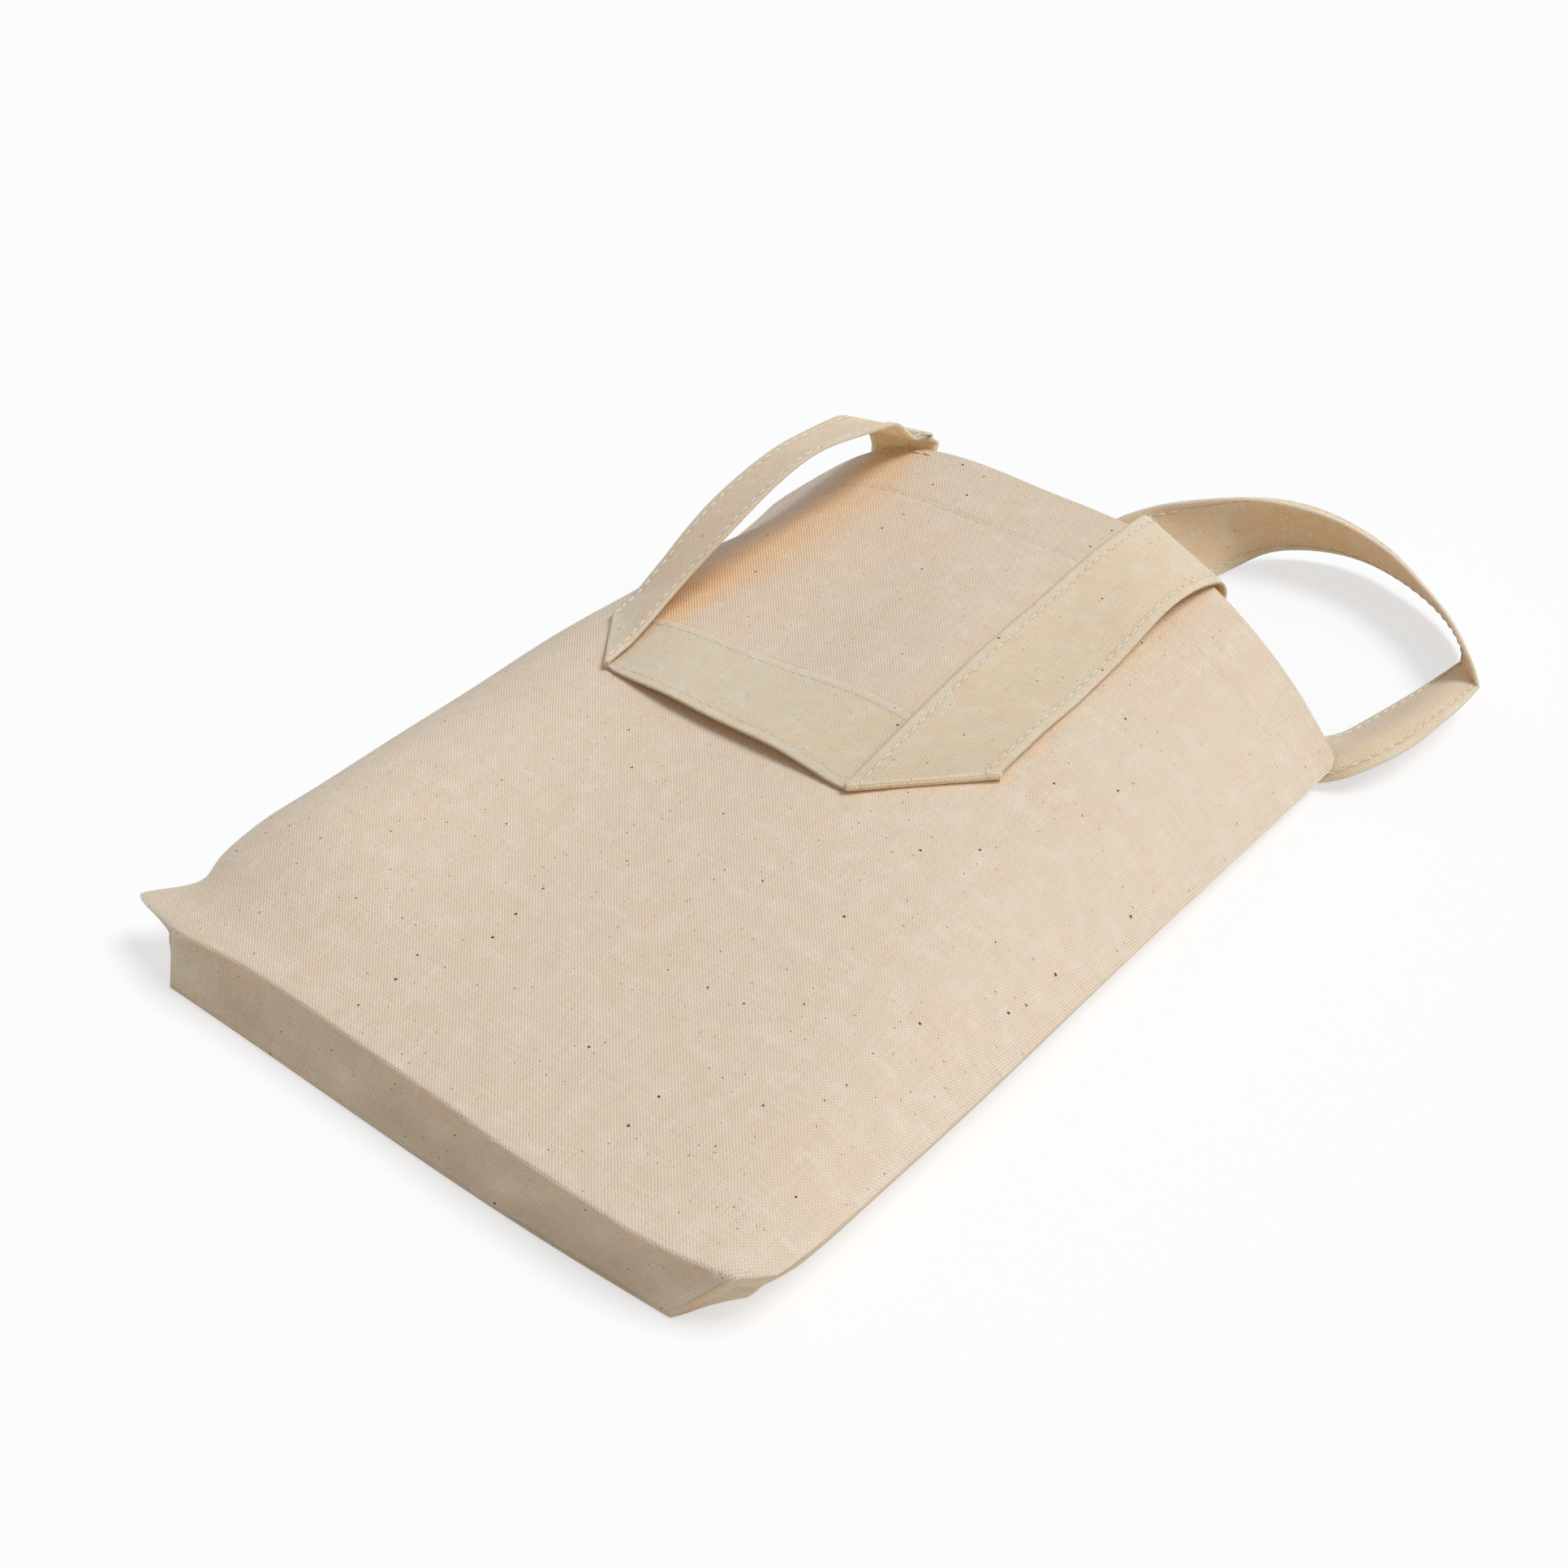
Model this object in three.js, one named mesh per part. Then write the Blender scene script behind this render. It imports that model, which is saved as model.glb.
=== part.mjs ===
// A mini tote bag of natural cotton canvas, lying on its back with the mouth towards +Y.
// Millimetres, +Z up. The origin is the middle of the back panel's resting face.
// The front handle is folded back over the front panel, and the back handle lies out beyond the mouth.
import * as THREE from "three";

// The bag's body
const BAG_LENGTH = 280;
const BASE_WIDTH = 178;
const FRONT_BASE_WIDTH = 203;
const FRONT_MOUTH_WIDTH = 216;
const FRONT_BASE_SHIFT = 8.5;
const FRONT_MOUTH_SHIFT = -4;
const BASE_CROWN = 22;
const MIDDLE_CROWN = 37;
const MOUTH_CROWN = 52;
const BASE_EDGE_HEIGHT = 18.5;
const MOUTH_EDGE_HEIGHT = 6;
const MOUTH_TUCK = 5;
const EAR_REACH = 10;
const EAR_LENGTH = 22;
const CORNER_ROUNDING = 11;

// Cloth, hem and seams
const CLOTH = 1;
const HEM_DEPTH = 25;
const HEM_STITCH_INSET = 2;
const SEAM_ALLOWANCE = 10;
const THREAD = 0.8;
const GAP = 0.3;

// The straps that make the two handles
const STRAP_WIDTH = 30;
const STRAP_THICKNESS = 2;
const STRAP_STITCH_INSET = 3;
const STRAP_END_LENGTH = 22;
const TACK_INSET = 3;
const TACK_LENGTH = 26;
const FRONT_ROOT_LEFT = -60;
const FRONT_ROOT_RIGHT = 41;
const FRONT_FOLD_LEFT = -76;
const FRONT_DROP = 135;
const CROSS_LIFT = 2.6;
const LEFT_LEG_ARCH = 14;
const RIGHT_LEG_ARCH = 1;
const ARCH_POWER = 0.6;
const ARCH_OUTER_SHARE = 0.7;
const ROOT_BEND_RADIUS = 6;
const BACK_ROOT_LEFT = -16;
const BACK_ROOT_RIGHT = 81;

// The back handle's lower edge between its two roots: across the bag, out from the mouth,
// and the way the strap's width points, as a heading in the floor and a rise above it, in degrees
const BACK_ROUTE = [
  { across: 77, out: 7, heading: -7, rise: 8 },
  { across: 90, out: 21, heading: -11, rise: 15 },
  { across: 99, out: 42, heading: -24, rise: 19 },
  { across: 104, out: 68, heading: -55, rise: 22 },
  { across: 98.5, out: 75, heading: -58, rise: 33 },
  { across: 83, out: 86, heading: -55, rise: 33 },
  { across: 70, out: 92.5, heading: -55, rise: 37 },
  { across: 57, out: 96, heading: -54, rise: 42 },
  { across: 44, out: 94, heading: -60, rise: 52 },
  { across: 33, out: 87.5, heading: -74, rise: 60 },
  { across: 27, out: 80, heading: -96, rise: 62 },
  { across: 24, out: 70, heading: -122, rise: 61 },
  { across: 21, out: 57, heading: -155, rise: 49 },
  { across: 12, out: 32, heading: -168, rise: 24 },
  { across: 3, out: 12, heading: -176, rise: 8 },
];

// Shape of the crowned front panel
const BASE_FLATNESS = 8;
const MOUTH_FLATNESS = 3;
const CROWN_MIDDLE = 0.5;
const GAPE_POWER = 1.6;
const CORNER_POWER = 6;
const SLOPE_STEP = 0.01;

// Where the slack cloth swells or sinks: its middle across the panel (from -1 to 1) and up from the bottom,
// how far it spreads across, below and above that, and its rise
const SWELLS = [
  { across: -0.85, fromBottom: 50, spread: 0.36, below: 28, above: 62, rise: 8 },
  { across: 0.18, fromBottom: 205, spread: 0.36, below: 80, above: 48, rise: 8.6 },
  { across: -0.75, fromBottom: 215, spread: 0.2, below: 45, above: 50, rise: -3.2 },
];

// Fineness of the faceted surfaces
const PANEL_COLUMNS = 20;
const PANEL_ROWS = 22;
const PANEL_ROW_POWER = 1.5;
const SIDE_ROWS = 16;
const HEM_COLUMNS = 20;
const HEM_ROWS = 3;
const END_COLUMNS = 5;
const LEG_STEPS = 9;
const CROSS_STEPS = 8;
const FOLD_STEPS = 6;
const BEND_STEPS = 8;
const BACK_STEPS = 40;
const STRAP_COLUMNS = 4;
const THREAD_SIDES = 5;

const BOTTOM_Y = -BAG_LENGTH / 2;
const MOUTH_Y = BAG_LENGTH / 2;
const HALF_STRAP = STRAP_WIDTH / 2;
const FOLD_RADIUS = STRAP_THICKNESS / 2 + 2 * GAP;
const FOLD_LIFT = CROSS_LIFT + 2 * FOLD_RADIUS;
const STRAP_END_DEPTH = 2 * (CLOTH + GAP);
const ROOT_DEPTH = STRAP_END_DEPTH + STRAP_THICKNESS / 2;
const ROOT_LIFT = 2 * ROOT_BEND_RADIUS - ROOT_DEPTH;
const FLOOR_LIFT = STRAP_THICKNESS / 2 + 2 * GAP;
const THREAD_LIFT = THREAD / 2 + GAP;
const SEAM_INNER_Y = BOTTOM_Y + CLOTH + GAP;
const SEAM_CLEARANCE = CLOTH + 2 * GAP;

const canvas = new THREE.MeshStandardMaterial({ color: 0xe2d2bc, roughness: 0.95, metalness: 0 });
const strapCanvas = new THREE.MeshStandardMaterial({ color: 0xe0cdb2, roughness: 0.95, metalness: 0 });
const cottonThread = new THREE.MeshStandardMaterial({ color: 0xf2ebdd, roughness: 0.8, metalness: 0 });

const mix = THREE.MathUtils.lerp;
const radians = THREE.MathUtils.degToRad;
const bag = new THREE.Group();

function add(name, geometry, material) {
  const mesh = new THREE.Mesh(geometry, material);
  mesh.name = name;
  bag.add(mesh);
}

// The front panel as a height above the floor

const alongBag = (y) => (y - BOTTOM_Y) / BAG_LENGTH;
const halfWidth = (v) => mix(FRONT_BASE_WIDTH, FRONT_MOUTH_WIDTH, v) / 2;
const centreLine = (v) => mix(FRONT_BASE_SHIFT, FRONT_MOUTH_SHIFT, v);
const edgeHeight = (v) => mix(BASE_EDGE_HEIGHT, MOUTH_EDGE_HEIGHT, v);
const flatness = (v) => mix(BASE_FLATNESS, MOUTH_FLATNESS, v);

function crownHeight(v) {
  const swell = Math.sin((Math.min(v / CROWN_MIDDLE, 1) * Math.PI) / 2);
  const gape = Math.max(0, (v - CROWN_MIDDLE) / (1 - CROWN_MIDDLE)) ** GAPE_POWER;
  return mix(BASE_CROWN, MIDDLE_CROWN, swell) + (MOUTH_CROWN - MIDDLE_CROWN) * gape;
}

function swellHeight(u, v) {
  let height = 0;
  for (const swell of SWELLS) {
    const along = v * BAG_LENGTH - swell.fromBottom;
    const length = along < 0 ? swell.below : swell.above;
    height += swell.rise * Math.exp(-(((u - swell.across) / swell.spread) ** 2) - (along / length) ** 2);
  }
  return height;
}

const acrossFront = (x, v) => THREE.MathUtils.clamp((x - centreLine(v)) / halfWidth(v), -1, 1);
const sideHeight = (v, side) => edgeHeight(v) + swellHeight(side, v);

function frontHeight(x, y) {
  const v = alongBag(y);
  const u = acrossFront(x, v);
  return mix(crownHeight(v), edgeHeight(v), Math.abs(u) ** flatness(v)) + swellHeight(u, v);
}

// A point under (positive depth) or over (negative depth) the front panel's outer face
function frontPoint(x, y, depth) {
  const v = alongBag(y);
  const u = acrossFront(x, v);
  const fall = crownHeight(v) - edgeHeight(v);
  const power = flatness(v);
  const crownSlope = -Math.sign(u) * fall * power * Math.abs(u) ** (power - 1);
  const swellSlope = (swellHeight(u + SLOPE_STEP, v) - swellHeight(u - SLOPE_STEP, v)) / (2 * SLOPE_STEP);
  const slope = (crownSlope + swellSlope) / halfWidth(v);
  const normal = new THREE.Vector3(-slope, 0, 1).normalize();
  return new THREE.Vector3(x, y, frontHeight(x, y)).addScaledVector(normal, -depth);
}

// The front panel's sides: rounded in at the right bottom corner
function frontEdge(v, side) {
  const fromBottom = v * BAG_LENGTH;
  const corner = side > 0 ? Math.max(0, 1 - fromBottom / CORNER_ROUNDING) ** 2 : 0;
  return centreLine(v) + side * (halfWidth(v) - CORNER_ROUNDING * corner);
}

// The panel's points from side to side (u from -1 to 1) and from bottom to mouth (v from 0 to 1)
function panelPoint(u, v, depth) {
  const point = frontPoint(centreLine(v) + u * halfWidth(v), mix(BOTTOM_Y, MOUTH_Y, v), depth);
  const side = Math.sign(u);
  const rounding = frontEdge(v, side) - centreLine(v) - side * halfWidth(v);
  point.x += Math.abs(u) ** CORNER_POWER * rounding;
  return point;
}

// The left bottom corner's pinched ear: how far it reaches past the panel's side
function earReach(v) {
  const middle = EAR_LENGTH / 4;
  const fromMiddle = v * BAG_LENGTH - middle;
  const spread = fromMiddle < 0 ? middle * 2 : EAR_LENGTH - middle;
  return EAR_REACH * Math.max(0, 1 - Math.abs(fromMiddle) / spread);
}

function backEdge(v, side) {
  const mouth = centreLine(1) + side * (halfWidth(1) - MOUTH_TUCK);
  return mix((side * BASE_WIDTH) / 2, mouth, v);
}

// The side panel's outer face at a height above the floor
function sideAt(v, side, z) {
  return mix(backEdge(v, side), frontEdge(v, side), z / sideHeight(v, side));
}

// Closed solids from two facing grids of points, from ribbons, from flat outlines and along threads

function gridSolid(rows, columns, outer, inner) {
  const points = [];
  for (const face of [outer, inner]) {
    for (let i = 0; i <= rows; i += 1) {
      for (let j = 0; j <= columns; j += 1) points.push(face(i / rows, j / columns));
    }
  }
  const layer = (rows + 1) * (columns + 1);
  const at = (k, i, j) => k * layer + i * (columns + 1) + j;
  const index = [];
  const quad = (a, b, c, d) => index.push(a, b, c, a, c, d);
  for (let i = 0; i < rows; i += 1) {
    for (let j = 0; j < columns; j += 1) {
      quad(at(0, i, j), at(0, i, j + 1), at(0, i + 1, j + 1), at(0, i + 1, j));
      quad(at(1, i, j), at(1, i + 1, j), at(1, i + 1, j + 1), at(1, i, j + 1));
    }
    quad(at(0, i, 0), at(0, i + 1, 0), at(1, i + 1, 0), at(1, i, 0));
    quad(at(0, i, columns), at(1, i, columns), at(1, i + 1, columns), at(0, i + 1, columns));
  }
  for (let j = 0; j < columns; j += 1) {
    quad(at(0, 0, j), at(1, 0, j), at(1, 0, j + 1), at(0, 0, j + 1));
    quad(at(0, rows, j), at(0, rows, j + 1), at(1, rows, j + 1), at(1, rows, j));
  }
  return facingOut(points, index);
}

// Turns a closed mesh's faces outwards, whichever way its grid runs
function facingOut(points, index) {
  let volume = 0;
  for (let k = 0; k < index.length; k += 3) {
    const [a, b, c] = [points[index[k]], points[index[k + 1]], points[index[k + 2]]];
    volume += a.dot(b.clone().cross(c)) / 6;
  }
  const geometry = new THREE.BufferGeometry().setFromPoints(points);
  geometry.setIndex(volume < 0 ? index.reverse() : index);
  geometry.computeVertexNormals();
  return geometry;
}

// A strap is a list of lines that cross it, each a row of points from its first edge to its second
function crossing(pointAt) {
  return Array.from({ length: STRAP_COLUMNS + 1 }, (_, k) => pointAt(k / STRAP_COLUMNS));
}

function onCrossing(line, share) {
  const place = Math.min(share * STRAP_COLUMNS, STRAP_COLUMNS - 1);
  const k = Math.floor(place);
  return line[k].clone().lerp(line[k + 1], share * STRAP_COLUMNS - k);
}

// The strap's face direction at each crossing line
function ribbonNormals(lines) {
  const middles = lines.map((line) => onCrossing(line, 0.5));
  return lines.map((line, k) => {
    const along = middles[Math.min(k + 1, lines.length - 1)].clone().sub(middles[Math.max(k - 1, 0)]);
    return line[STRAP_COLUMNS].clone().sub(line[0]).cross(along).normalize();
  });
}

function ribbonSolid(lines) {
  const normals = ribbonNormals(lines);
  const steps = lines.length - 1;
  const face = (half) => (s, t) => {
    const k = Math.round(s * steps);
    return lines[k][Math.round(t * STRAP_COLUMNS)].clone().addScaledVector(normals[k], half);
  };
  return gridSolid(steps, STRAP_COLUMNS, face(STRAP_THICKNESS / 2), face(-STRAP_THICKNESS / 2));
}

// A row of stitches on a strap's face, a given distance in from its first edge
function ribbonStitching(lines, inset, faceSide) {
  const normals = ribbonNormals(lines);
  const lift = faceSide * (STRAP_THICKNESS / 2 + THREAD_LIFT);
  const share = inset / STRAP_WIDTH;
  return threadAlong(lines.map((line, k) => onCrossing(line, share).addScaledVector(normals[k], lift)));
}

function threadAlong(points) {
  const section = new THREE.Shape();
  for (let k = 0; k < THREAD_SIDES; k += 1) {
    const angle = (2 * Math.PI * k) / THREAD_SIDES;
    const [x, y] = [(Math.cos(angle) * THREAD) / 2, (Math.sin(angle) * THREAD) / 2];
    if (k === 0) section.moveTo(x, y);
    else section.lineTo(x, y);
  }
  const extrudePath = new THREE.CatmullRomCurve3(points);
  return new THREE.ExtrudeGeometry(section, { steps: points.length - 1, extrudePath });
}

function plate(outline, low, high) {
  const shape = new THREE.Shape(outline.map(([x, y]) => new THREE.Vector2(x, y)));
  const geometry = new THREE.ExtrudeGeometry(shape, { depth: high - low, bevelEnabled: false });
  return geometry.translate(0, 0, low);
}

// The body: back, bottom and side panels

function backPanel() {
  const low = alongBag(SEAM_INNER_Y);
  const outline = [
    [backEdge(low, -1), SEAM_INNER_Y],
    [backEdge(low, 1), SEAM_INNER_Y],
    [backEdge(1, 1), MOUTH_Y],
    [backEdge(1, -1), MOUTH_Y],
  ];
  return plate(outline, 0, CLOTH);
}

// The boxed bottom, as an upright face that ends just under the front panel's fold
function bottomPanel() {
  const outline = [
    [-BASE_WIDTH / 2, 0],
    [BASE_WIDTH / 2, 0],
  ];
  for (let k = 0; k <= PANEL_COLUMNS; k += 1) {
    const { x, z } = panelPoint(1 - (2 * k) / PANEL_COLUMNS, 0, CLOTH + 2 * GAP);
    outline.push([x, z]);
  }
  return plate(outline, 0, CLOTH)
    .rotateX(Math.PI / 2)
    .translate(0, BOTTOM_Y + CLOTH, 0);
}

// A side panel leans from the back panel's edge out to the front panel's edge
function sidePanel(side) {
  const first = alongBag(SEAM_INNER_Y);
  const edges = (v) => {
    const top = new THREE.Vector3(frontEdge(v, side), 0, sideHeight(v, side));
    const foot = new THREE.Vector3(backEdge(v, side), 0, 0);
    return { top, foot, down: foot.clone().sub(top) };
  };
  const face = (depth) => (s, t) => {
    const v = mix(first, 1, s);
    const { top, down } = edges(v);
    const length = down.length();
    const start = (2 * (CLOTH + GAP)) / length;
    const end = 1 - (CLOTH + GAP) / top.z;
    const inward = new THREE.Vector3(side * down.z, 0, -side * down.x).normalize();
    const point = top.clone().addScaledVector(down, mix(start, end, t));
    point.addScaledVector(inward, depth);
    point.y = mix(BOTTOM_Y, MOUTH_Y, v);
    return point;
  };
  return gridSolid(SIDE_ROWS, 1, face(0), face(CLOTH));
}

// The seam allowances inside: along each side, and up each boxed corner

function sideSeam(side) {
  const from = SEAM_INNER_Y + 2 * CLOTH + GAP;
  const to = MOUTH_Y - HEM_DEPTH - GAP;
  const low = CLOTH + GAP;
  const high = low + 2 * CLOTH;
  const outer = (y) => {
    const reach = [low, high].map((z) => side * sideAt(alongBag(y), side, z));
    return side * (Math.min(...reach) - SEAM_CLEARANCE);
  };
  const inner = (y) => outer(y) - side * SEAM_ALLOWANCE;
  const outline = [
    [outer(from), from],
    [outer(to), to],
    [inner(to), to],
    [inner(from), from],
  ];
  return plate(outline, low, high);
}

function cornerSeam(side) {
  const v = alongBag(SEAM_INNER_Y);
  const outer = (z) => sideAt(v, side, z) - side * SEAM_CLEARANCE;
  const inner = (z) => outer(z) - side * SEAM_ALLOWANCE;
  const low = CLOTH + GAP;
  const high = BASE_EDGE_HEIGHT - 2 * (CLOTH + GAP);
  const outline = [
    [outer(low), low],
    [inner(low), low],
    [inner(high), high],
    [outer(high), high],
  ];
  return plate(outline, 0, 2 * CLOTH)
    .rotateX(Math.PI / 2)
    .translate(0, SEAM_INNER_Y + 2 * CLOTH, 0);
}

// The front panel, with its ear, and its turned hem

function frontPanel() {
  const face = (depth) => (s, t) => {
    const v = s ** PANEL_ROW_POWER;
    const u = 2 * t - 1;
    const point = panelPoint(u, v, depth);
    if (u < 0) point.x -= Math.abs(u) ** CORNER_POWER * earReach(v);
    return point;
  };
  return gridSolid(PANEL_ROWS, PANEL_COLUMNS, face(0), face(CLOTH));
}

const hemReach = (side) => centreLine(1) + side * (halfWidth(1) - MOUTH_TUCK - HEM_DEPTH / 4);

function frontHem() {
  const depth = CLOTH + GAP;
  const face = (under) => (s, t) =>
    frontPoint(mix(hemReach(-1), hemReach(1), t), mix(MOUTH_Y - HEM_DEPTH, MOUTH_Y, s), under);
  return gridSolid(HEM_ROWS, HEM_COLUMNS, face(depth), face(depth + CLOTH));
}

function frontHemStitching() {
  const y = MOUTH_Y - HEM_DEPTH + HEM_STITCH_INSET;
  const points = [];
  for (let k = 0; k <= HEM_COLUMNS; k += 1) {
    points.push(frontPoint(mix(hemReach(-1), hemReach(1), k / HEM_COLUMNS), y, -THREAD_LIFT));
  }
  return threadAlong(points);
}

function backHem() {
  const corner = (y, side) => [backEdge(alongBag(y), side) - side * CLOTH, y];
  const fold = MOUTH_Y - HEM_DEPTH;
  const outline = [corner(fold, -1), corner(fold, 1), corner(MOUTH_Y, 1), corner(MOUTH_Y, -1)];
  return plate(outline, CLOTH + GAP, 2 * CLOTH + GAP);
}

// A straight row of stitches across the bag
function straightRow(from, to, y, z) {
  return threadAlong([new THREE.Vector3(from, y, z), new THREE.Vector3(to, y, z)]);
}

// The strap ends sewn inside the hems, each held by a row of stitches near the mouth

function frontStrapEnd(root) {
  const face = (depth) => (s, t) =>
    frontPoint(
      mix(root - HALF_STRAP, root + HALF_STRAP, t),
      mix(MOUTH_Y - STRAP_END_LENGTH, MOUTH_Y, s),
      depth,
    );
  return gridSolid(HEM_ROWS, END_COLUMNS, face(STRAP_END_DEPTH), face(STRAP_END_DEPTH + STRAP_THICKNESS));
}

function frontTack(root) {
  const points = [];
  for (let k = 0; k <= END_COLUMNS; k += 1) {
    const x = root + TACK_LENGTH * (k / END_COLUMNS - 0.5);
    points.push(frontPoint(x, MOUTH_Y - TACK_INSET, -THREAD_LIFT));
  }
  return threadAlong(points);
}

function backStrapEnd(root) {
  const outline = [
    [root - HALF_STRAP, MOUTH_Y - STRAP_END_LENGTH],
    [root + HALF_STRAP, MOUTH_Y - STRAP_END_LENGTH],
    [root + HALF_STRAP, MOUTH_Y],
    [root - HALF_STRAP, MOUTH_Y],
  ];
  return plate(outline, STRAP_END_DEPTH, STRAP_END_DEPTH + STRAP_THICKNESS);
}

function backTack(root) {
  const z = STRAP_END_DEPTH + STRAP_THICKNESS + THREAD_LIFT;
  return straightRow(root - TACK_LENGTH / 2, root + TACK_LENGTH / 2, MOUTH_Y - TACK_INSET, z);
}

// The bend of a front strap over the mouth's edge, from its sewn end back over the panel
function rootBend(root) {
  const lines = [];
  for (let k = 0; k <= BEND_STEPS; k += 1) {
    const angle = Math.PI * (k / BEND_STEPS - 0.5);
    const y = MOUTH_Y + GAP + ROOT_BEND_RADIUS * Math.cos(angle);
    const rise = ROOT_BEND_RADIUS * (1 + Math.sin(angle)) - ROOT_DEPTH;
    lines.push(
      crossing((t) => {
        const x = mix(root - HALF_STRAP, root + HALF_STRAP, t);
        return new THREE.Vector3(x, y, frontHeight(x, MOUTH_Y) + rise);
      }),
    );
  }
  return ribbonSolid(lines);
}

// The front handle: one strap laid over the front panel and turned at two slanting folds

const overFront = (x, y, lift) => new THREE.Vector3(x, y, frontHeight(x, y) + lift);
const CROSS_LOW_Y = MOUTH_Y - FRONT_DROP;
const CROSS_HIGH_Y = CROSS_LOW_Y + STRAP_WIDTH;

// A leg from its root (share 0) to its fold (share 1), on crossing lines that slant towards the fold
function legLines(root, fold, inward, arch) {
  const lines = [];
  for (let k = 0; k <= LEG_STEPS; k += 1) {
    const share = k / LEG_STEPS;
    const inner = mix(root, fold, share) + inward * HALF_STRAP;
    const rise = arch * Math.sin(Math.PI * share ** ARCH_POWER);
    lines.push(
      crossing((t) => {
        const foldY = mix(CROSS_LOW_Y, CROSS_HIGH_Y, t);
        const lift = mix(ROOT_LIFT, FOLD_LIFT, share) + rise * mix(1, ARCH_OUTER_SHARE, t);
        return overFront(inner - inward * STRAP_WIDTH * t, mix(MOUTH_Y, foldY, share), lift);
      }),
    );
  }
  return lines;
}

// A half turn about the slanting fold line that ends a leg, down to the cross-piece
function foldLines(leg, outward) {
  const last = leg[LEG_STEPS];
  const away = new THREE.Vector3(outward, -1, 0).normalize();
  const lines = [];
  for (let k = 1; k <= FOLD_STEPS; k += 1) {
    const angle = (Math.PI * k) / FOLD_STEPS;
    const shift = away.clone().multiplyScalar(FOLD_RADIUS * Math.sin(angle));
    shift.z = FOLD_RADIUS * (Math.cos(angle) - 1);
    lines.push(last.map((point) => point.clone().add(shift)));
  }
  return lines;
}

function crossLines(rightFold, leftFold) {
  const [right, left] = [rightFold[FOLD_STEPS - 1], leftFold[FOLD_STEPS - 1]];
  const lines = [];
  for (let k = 1; k < CROSS_STEPS; k += 1) {
    const share = k / CROSS_STEPS;
    lines.push(right.map(({ x, y }, j) => overFront(mix(x, left[j].x, share), y, CROSS_LIFT)));
  }
  return lines;
}

const rightLeg = legLines(FRONT_ROOT_RIGHT, FRONT_ROOT_RIGHT, -1, RIGHT_LEG_ARCH);
const leftLeg = legLines(FRONT_ROOT_LEFT, FRONT_FOLD_LEFT, 1, LEFT_LEG_ARCH);
const rightFold = foldLines(rightLeg, 1);
const leftFold = foldLines(leftLeg, -1);
const cross = crossLines(rightFold, leftFold);
const frontStrapLines = [
  ...rightLeg,
  ...rightFold,
  ...cross,
  ...leftFold.toReversed(),
  ...leftLeg.toReversed(),
];

// A row of stitches along the cross-piece between the two legs
function crossStitching(y) {
  const from = FRONT_ROOT_RIGHT - HALF_STRAP - STRAP_STITCH_INSET;
  const to = FRONT_FOLD_LEFT + HALF_STRAP + STRAP_STITCH_INSET;
  const lift = CROSS_LIFT + STRAP_THICKNESS / 2 + THREAD_LIFT + GAP;
  const points = [];
  for (let k = 0; k <= CROSS_STEPS; k += 1) {
    points.push(overFront(mix(from, to, k / CROSS_STEPS), y, lift));
  }
  return threadAlong(points);
}

// The back handle: one strap that stands on its lower edge, round a loop on the floor

function backStrapLines() {
  const root = (across, heading) => ({ across, out: GAP, heading, rise: 0, z: ROOT_DEPTH });
  const route = [
    root(BACK_ROOT_RIGHT - HALF_STRAP, 0),
    ...BACK_ROUTE.map((place) => ({ ...place, z: FLOOR_LIFT })),
    root(BACK_ROOT_LEFT + HALF_STRAP, -180),
  ];
  const lower = route.map(({ across, out, z }) => new THREE.Vector3(across, MOUTH_Y + out, z));
  const upper = route.map(({ heading, rise }, k) => {
    const width = new THREE.Vector3(
      Math.cos(radians(heading)) * Math.cos(radians(rise)),
      Math.sin(radians(heading)) * Math.cos(radians(rise)),
      Math.sin(radians(rise)),
    );
    return lower[k].clone().addScaledVector(width, STRAP_WIDTH);
  });
  const [lowerEdge, upperEdge] = [lower, upper].map((points) => new THREE.CatmullRomCurve3(points));
  return Array.from({ length: BACK_STEPS + 1 }, (_, k) => {
    const [from, to] = [lowerEdge, upperEdge].map((edge) => edge.getPoint(k / BACK_STEPS));
    return crossing((t) => from.clone().lerp(to, t));
  });
}

const backStrap = backStrapLines();
const FAR_INSET = STRAP_WIDTH - STRAP_STITCH_INSET;

add("back_panel", backPanel(), canvas);
add("bottom_panel", bottomPanel(), canvas);
add("left_side_panel", sidePanel(-1), canvas);
add("right_side_panel", sidePanel(1), canvas);
add("left_seam_allowance", sideSeam(-1), canvas);
add("right_seam_allowance", sideSeam(1), canvas);
add("left_corner_seam", cornerSeam(-1), canvas);
add("right_corner_seam", cornerSeam(1), canvas);
add("back_hem", backHem(), canvas);
const backRowZ = 2 * CLOTH + GAP + THREAD_LIFT;
const backRowY = MOUTH_Y - HEM_DEPTH + HEM_STITCH_INSET - THREAD;
add("back_hem_stitching", straightRow(hemReach(-1), hemReach(1), backRowY, backRowZ), cottonThread);

add("front_panel", frontPanel(), canvas);
add("front_hem", frontHem(), canvas);
add("front_hem_stitching", frontHemStitching(), cottonThread);

for (const [side, front, back] of [
  ["left", FRONT_ROOT_LEFT, BACK_ROOT_LEFT],
  ["right", FRONT_ROOT_RIGHT, BACK_ROOT_RIGHT],
]) {
  add(`front_${side}_strap_end`, frontStrapEnd(front), strapCanvas);
  add(`front_${side}_tack`, frontTack(front), cottonThread);
  add(`front_${side}_root_bend`, rootBend(front), strapCanvas);
  add(`back_${side}_strap_end`, backStrapEnd(back), strapCanvas);
  add(`back_${side}_tack`, backTack(back), cottonThread);
}

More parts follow.
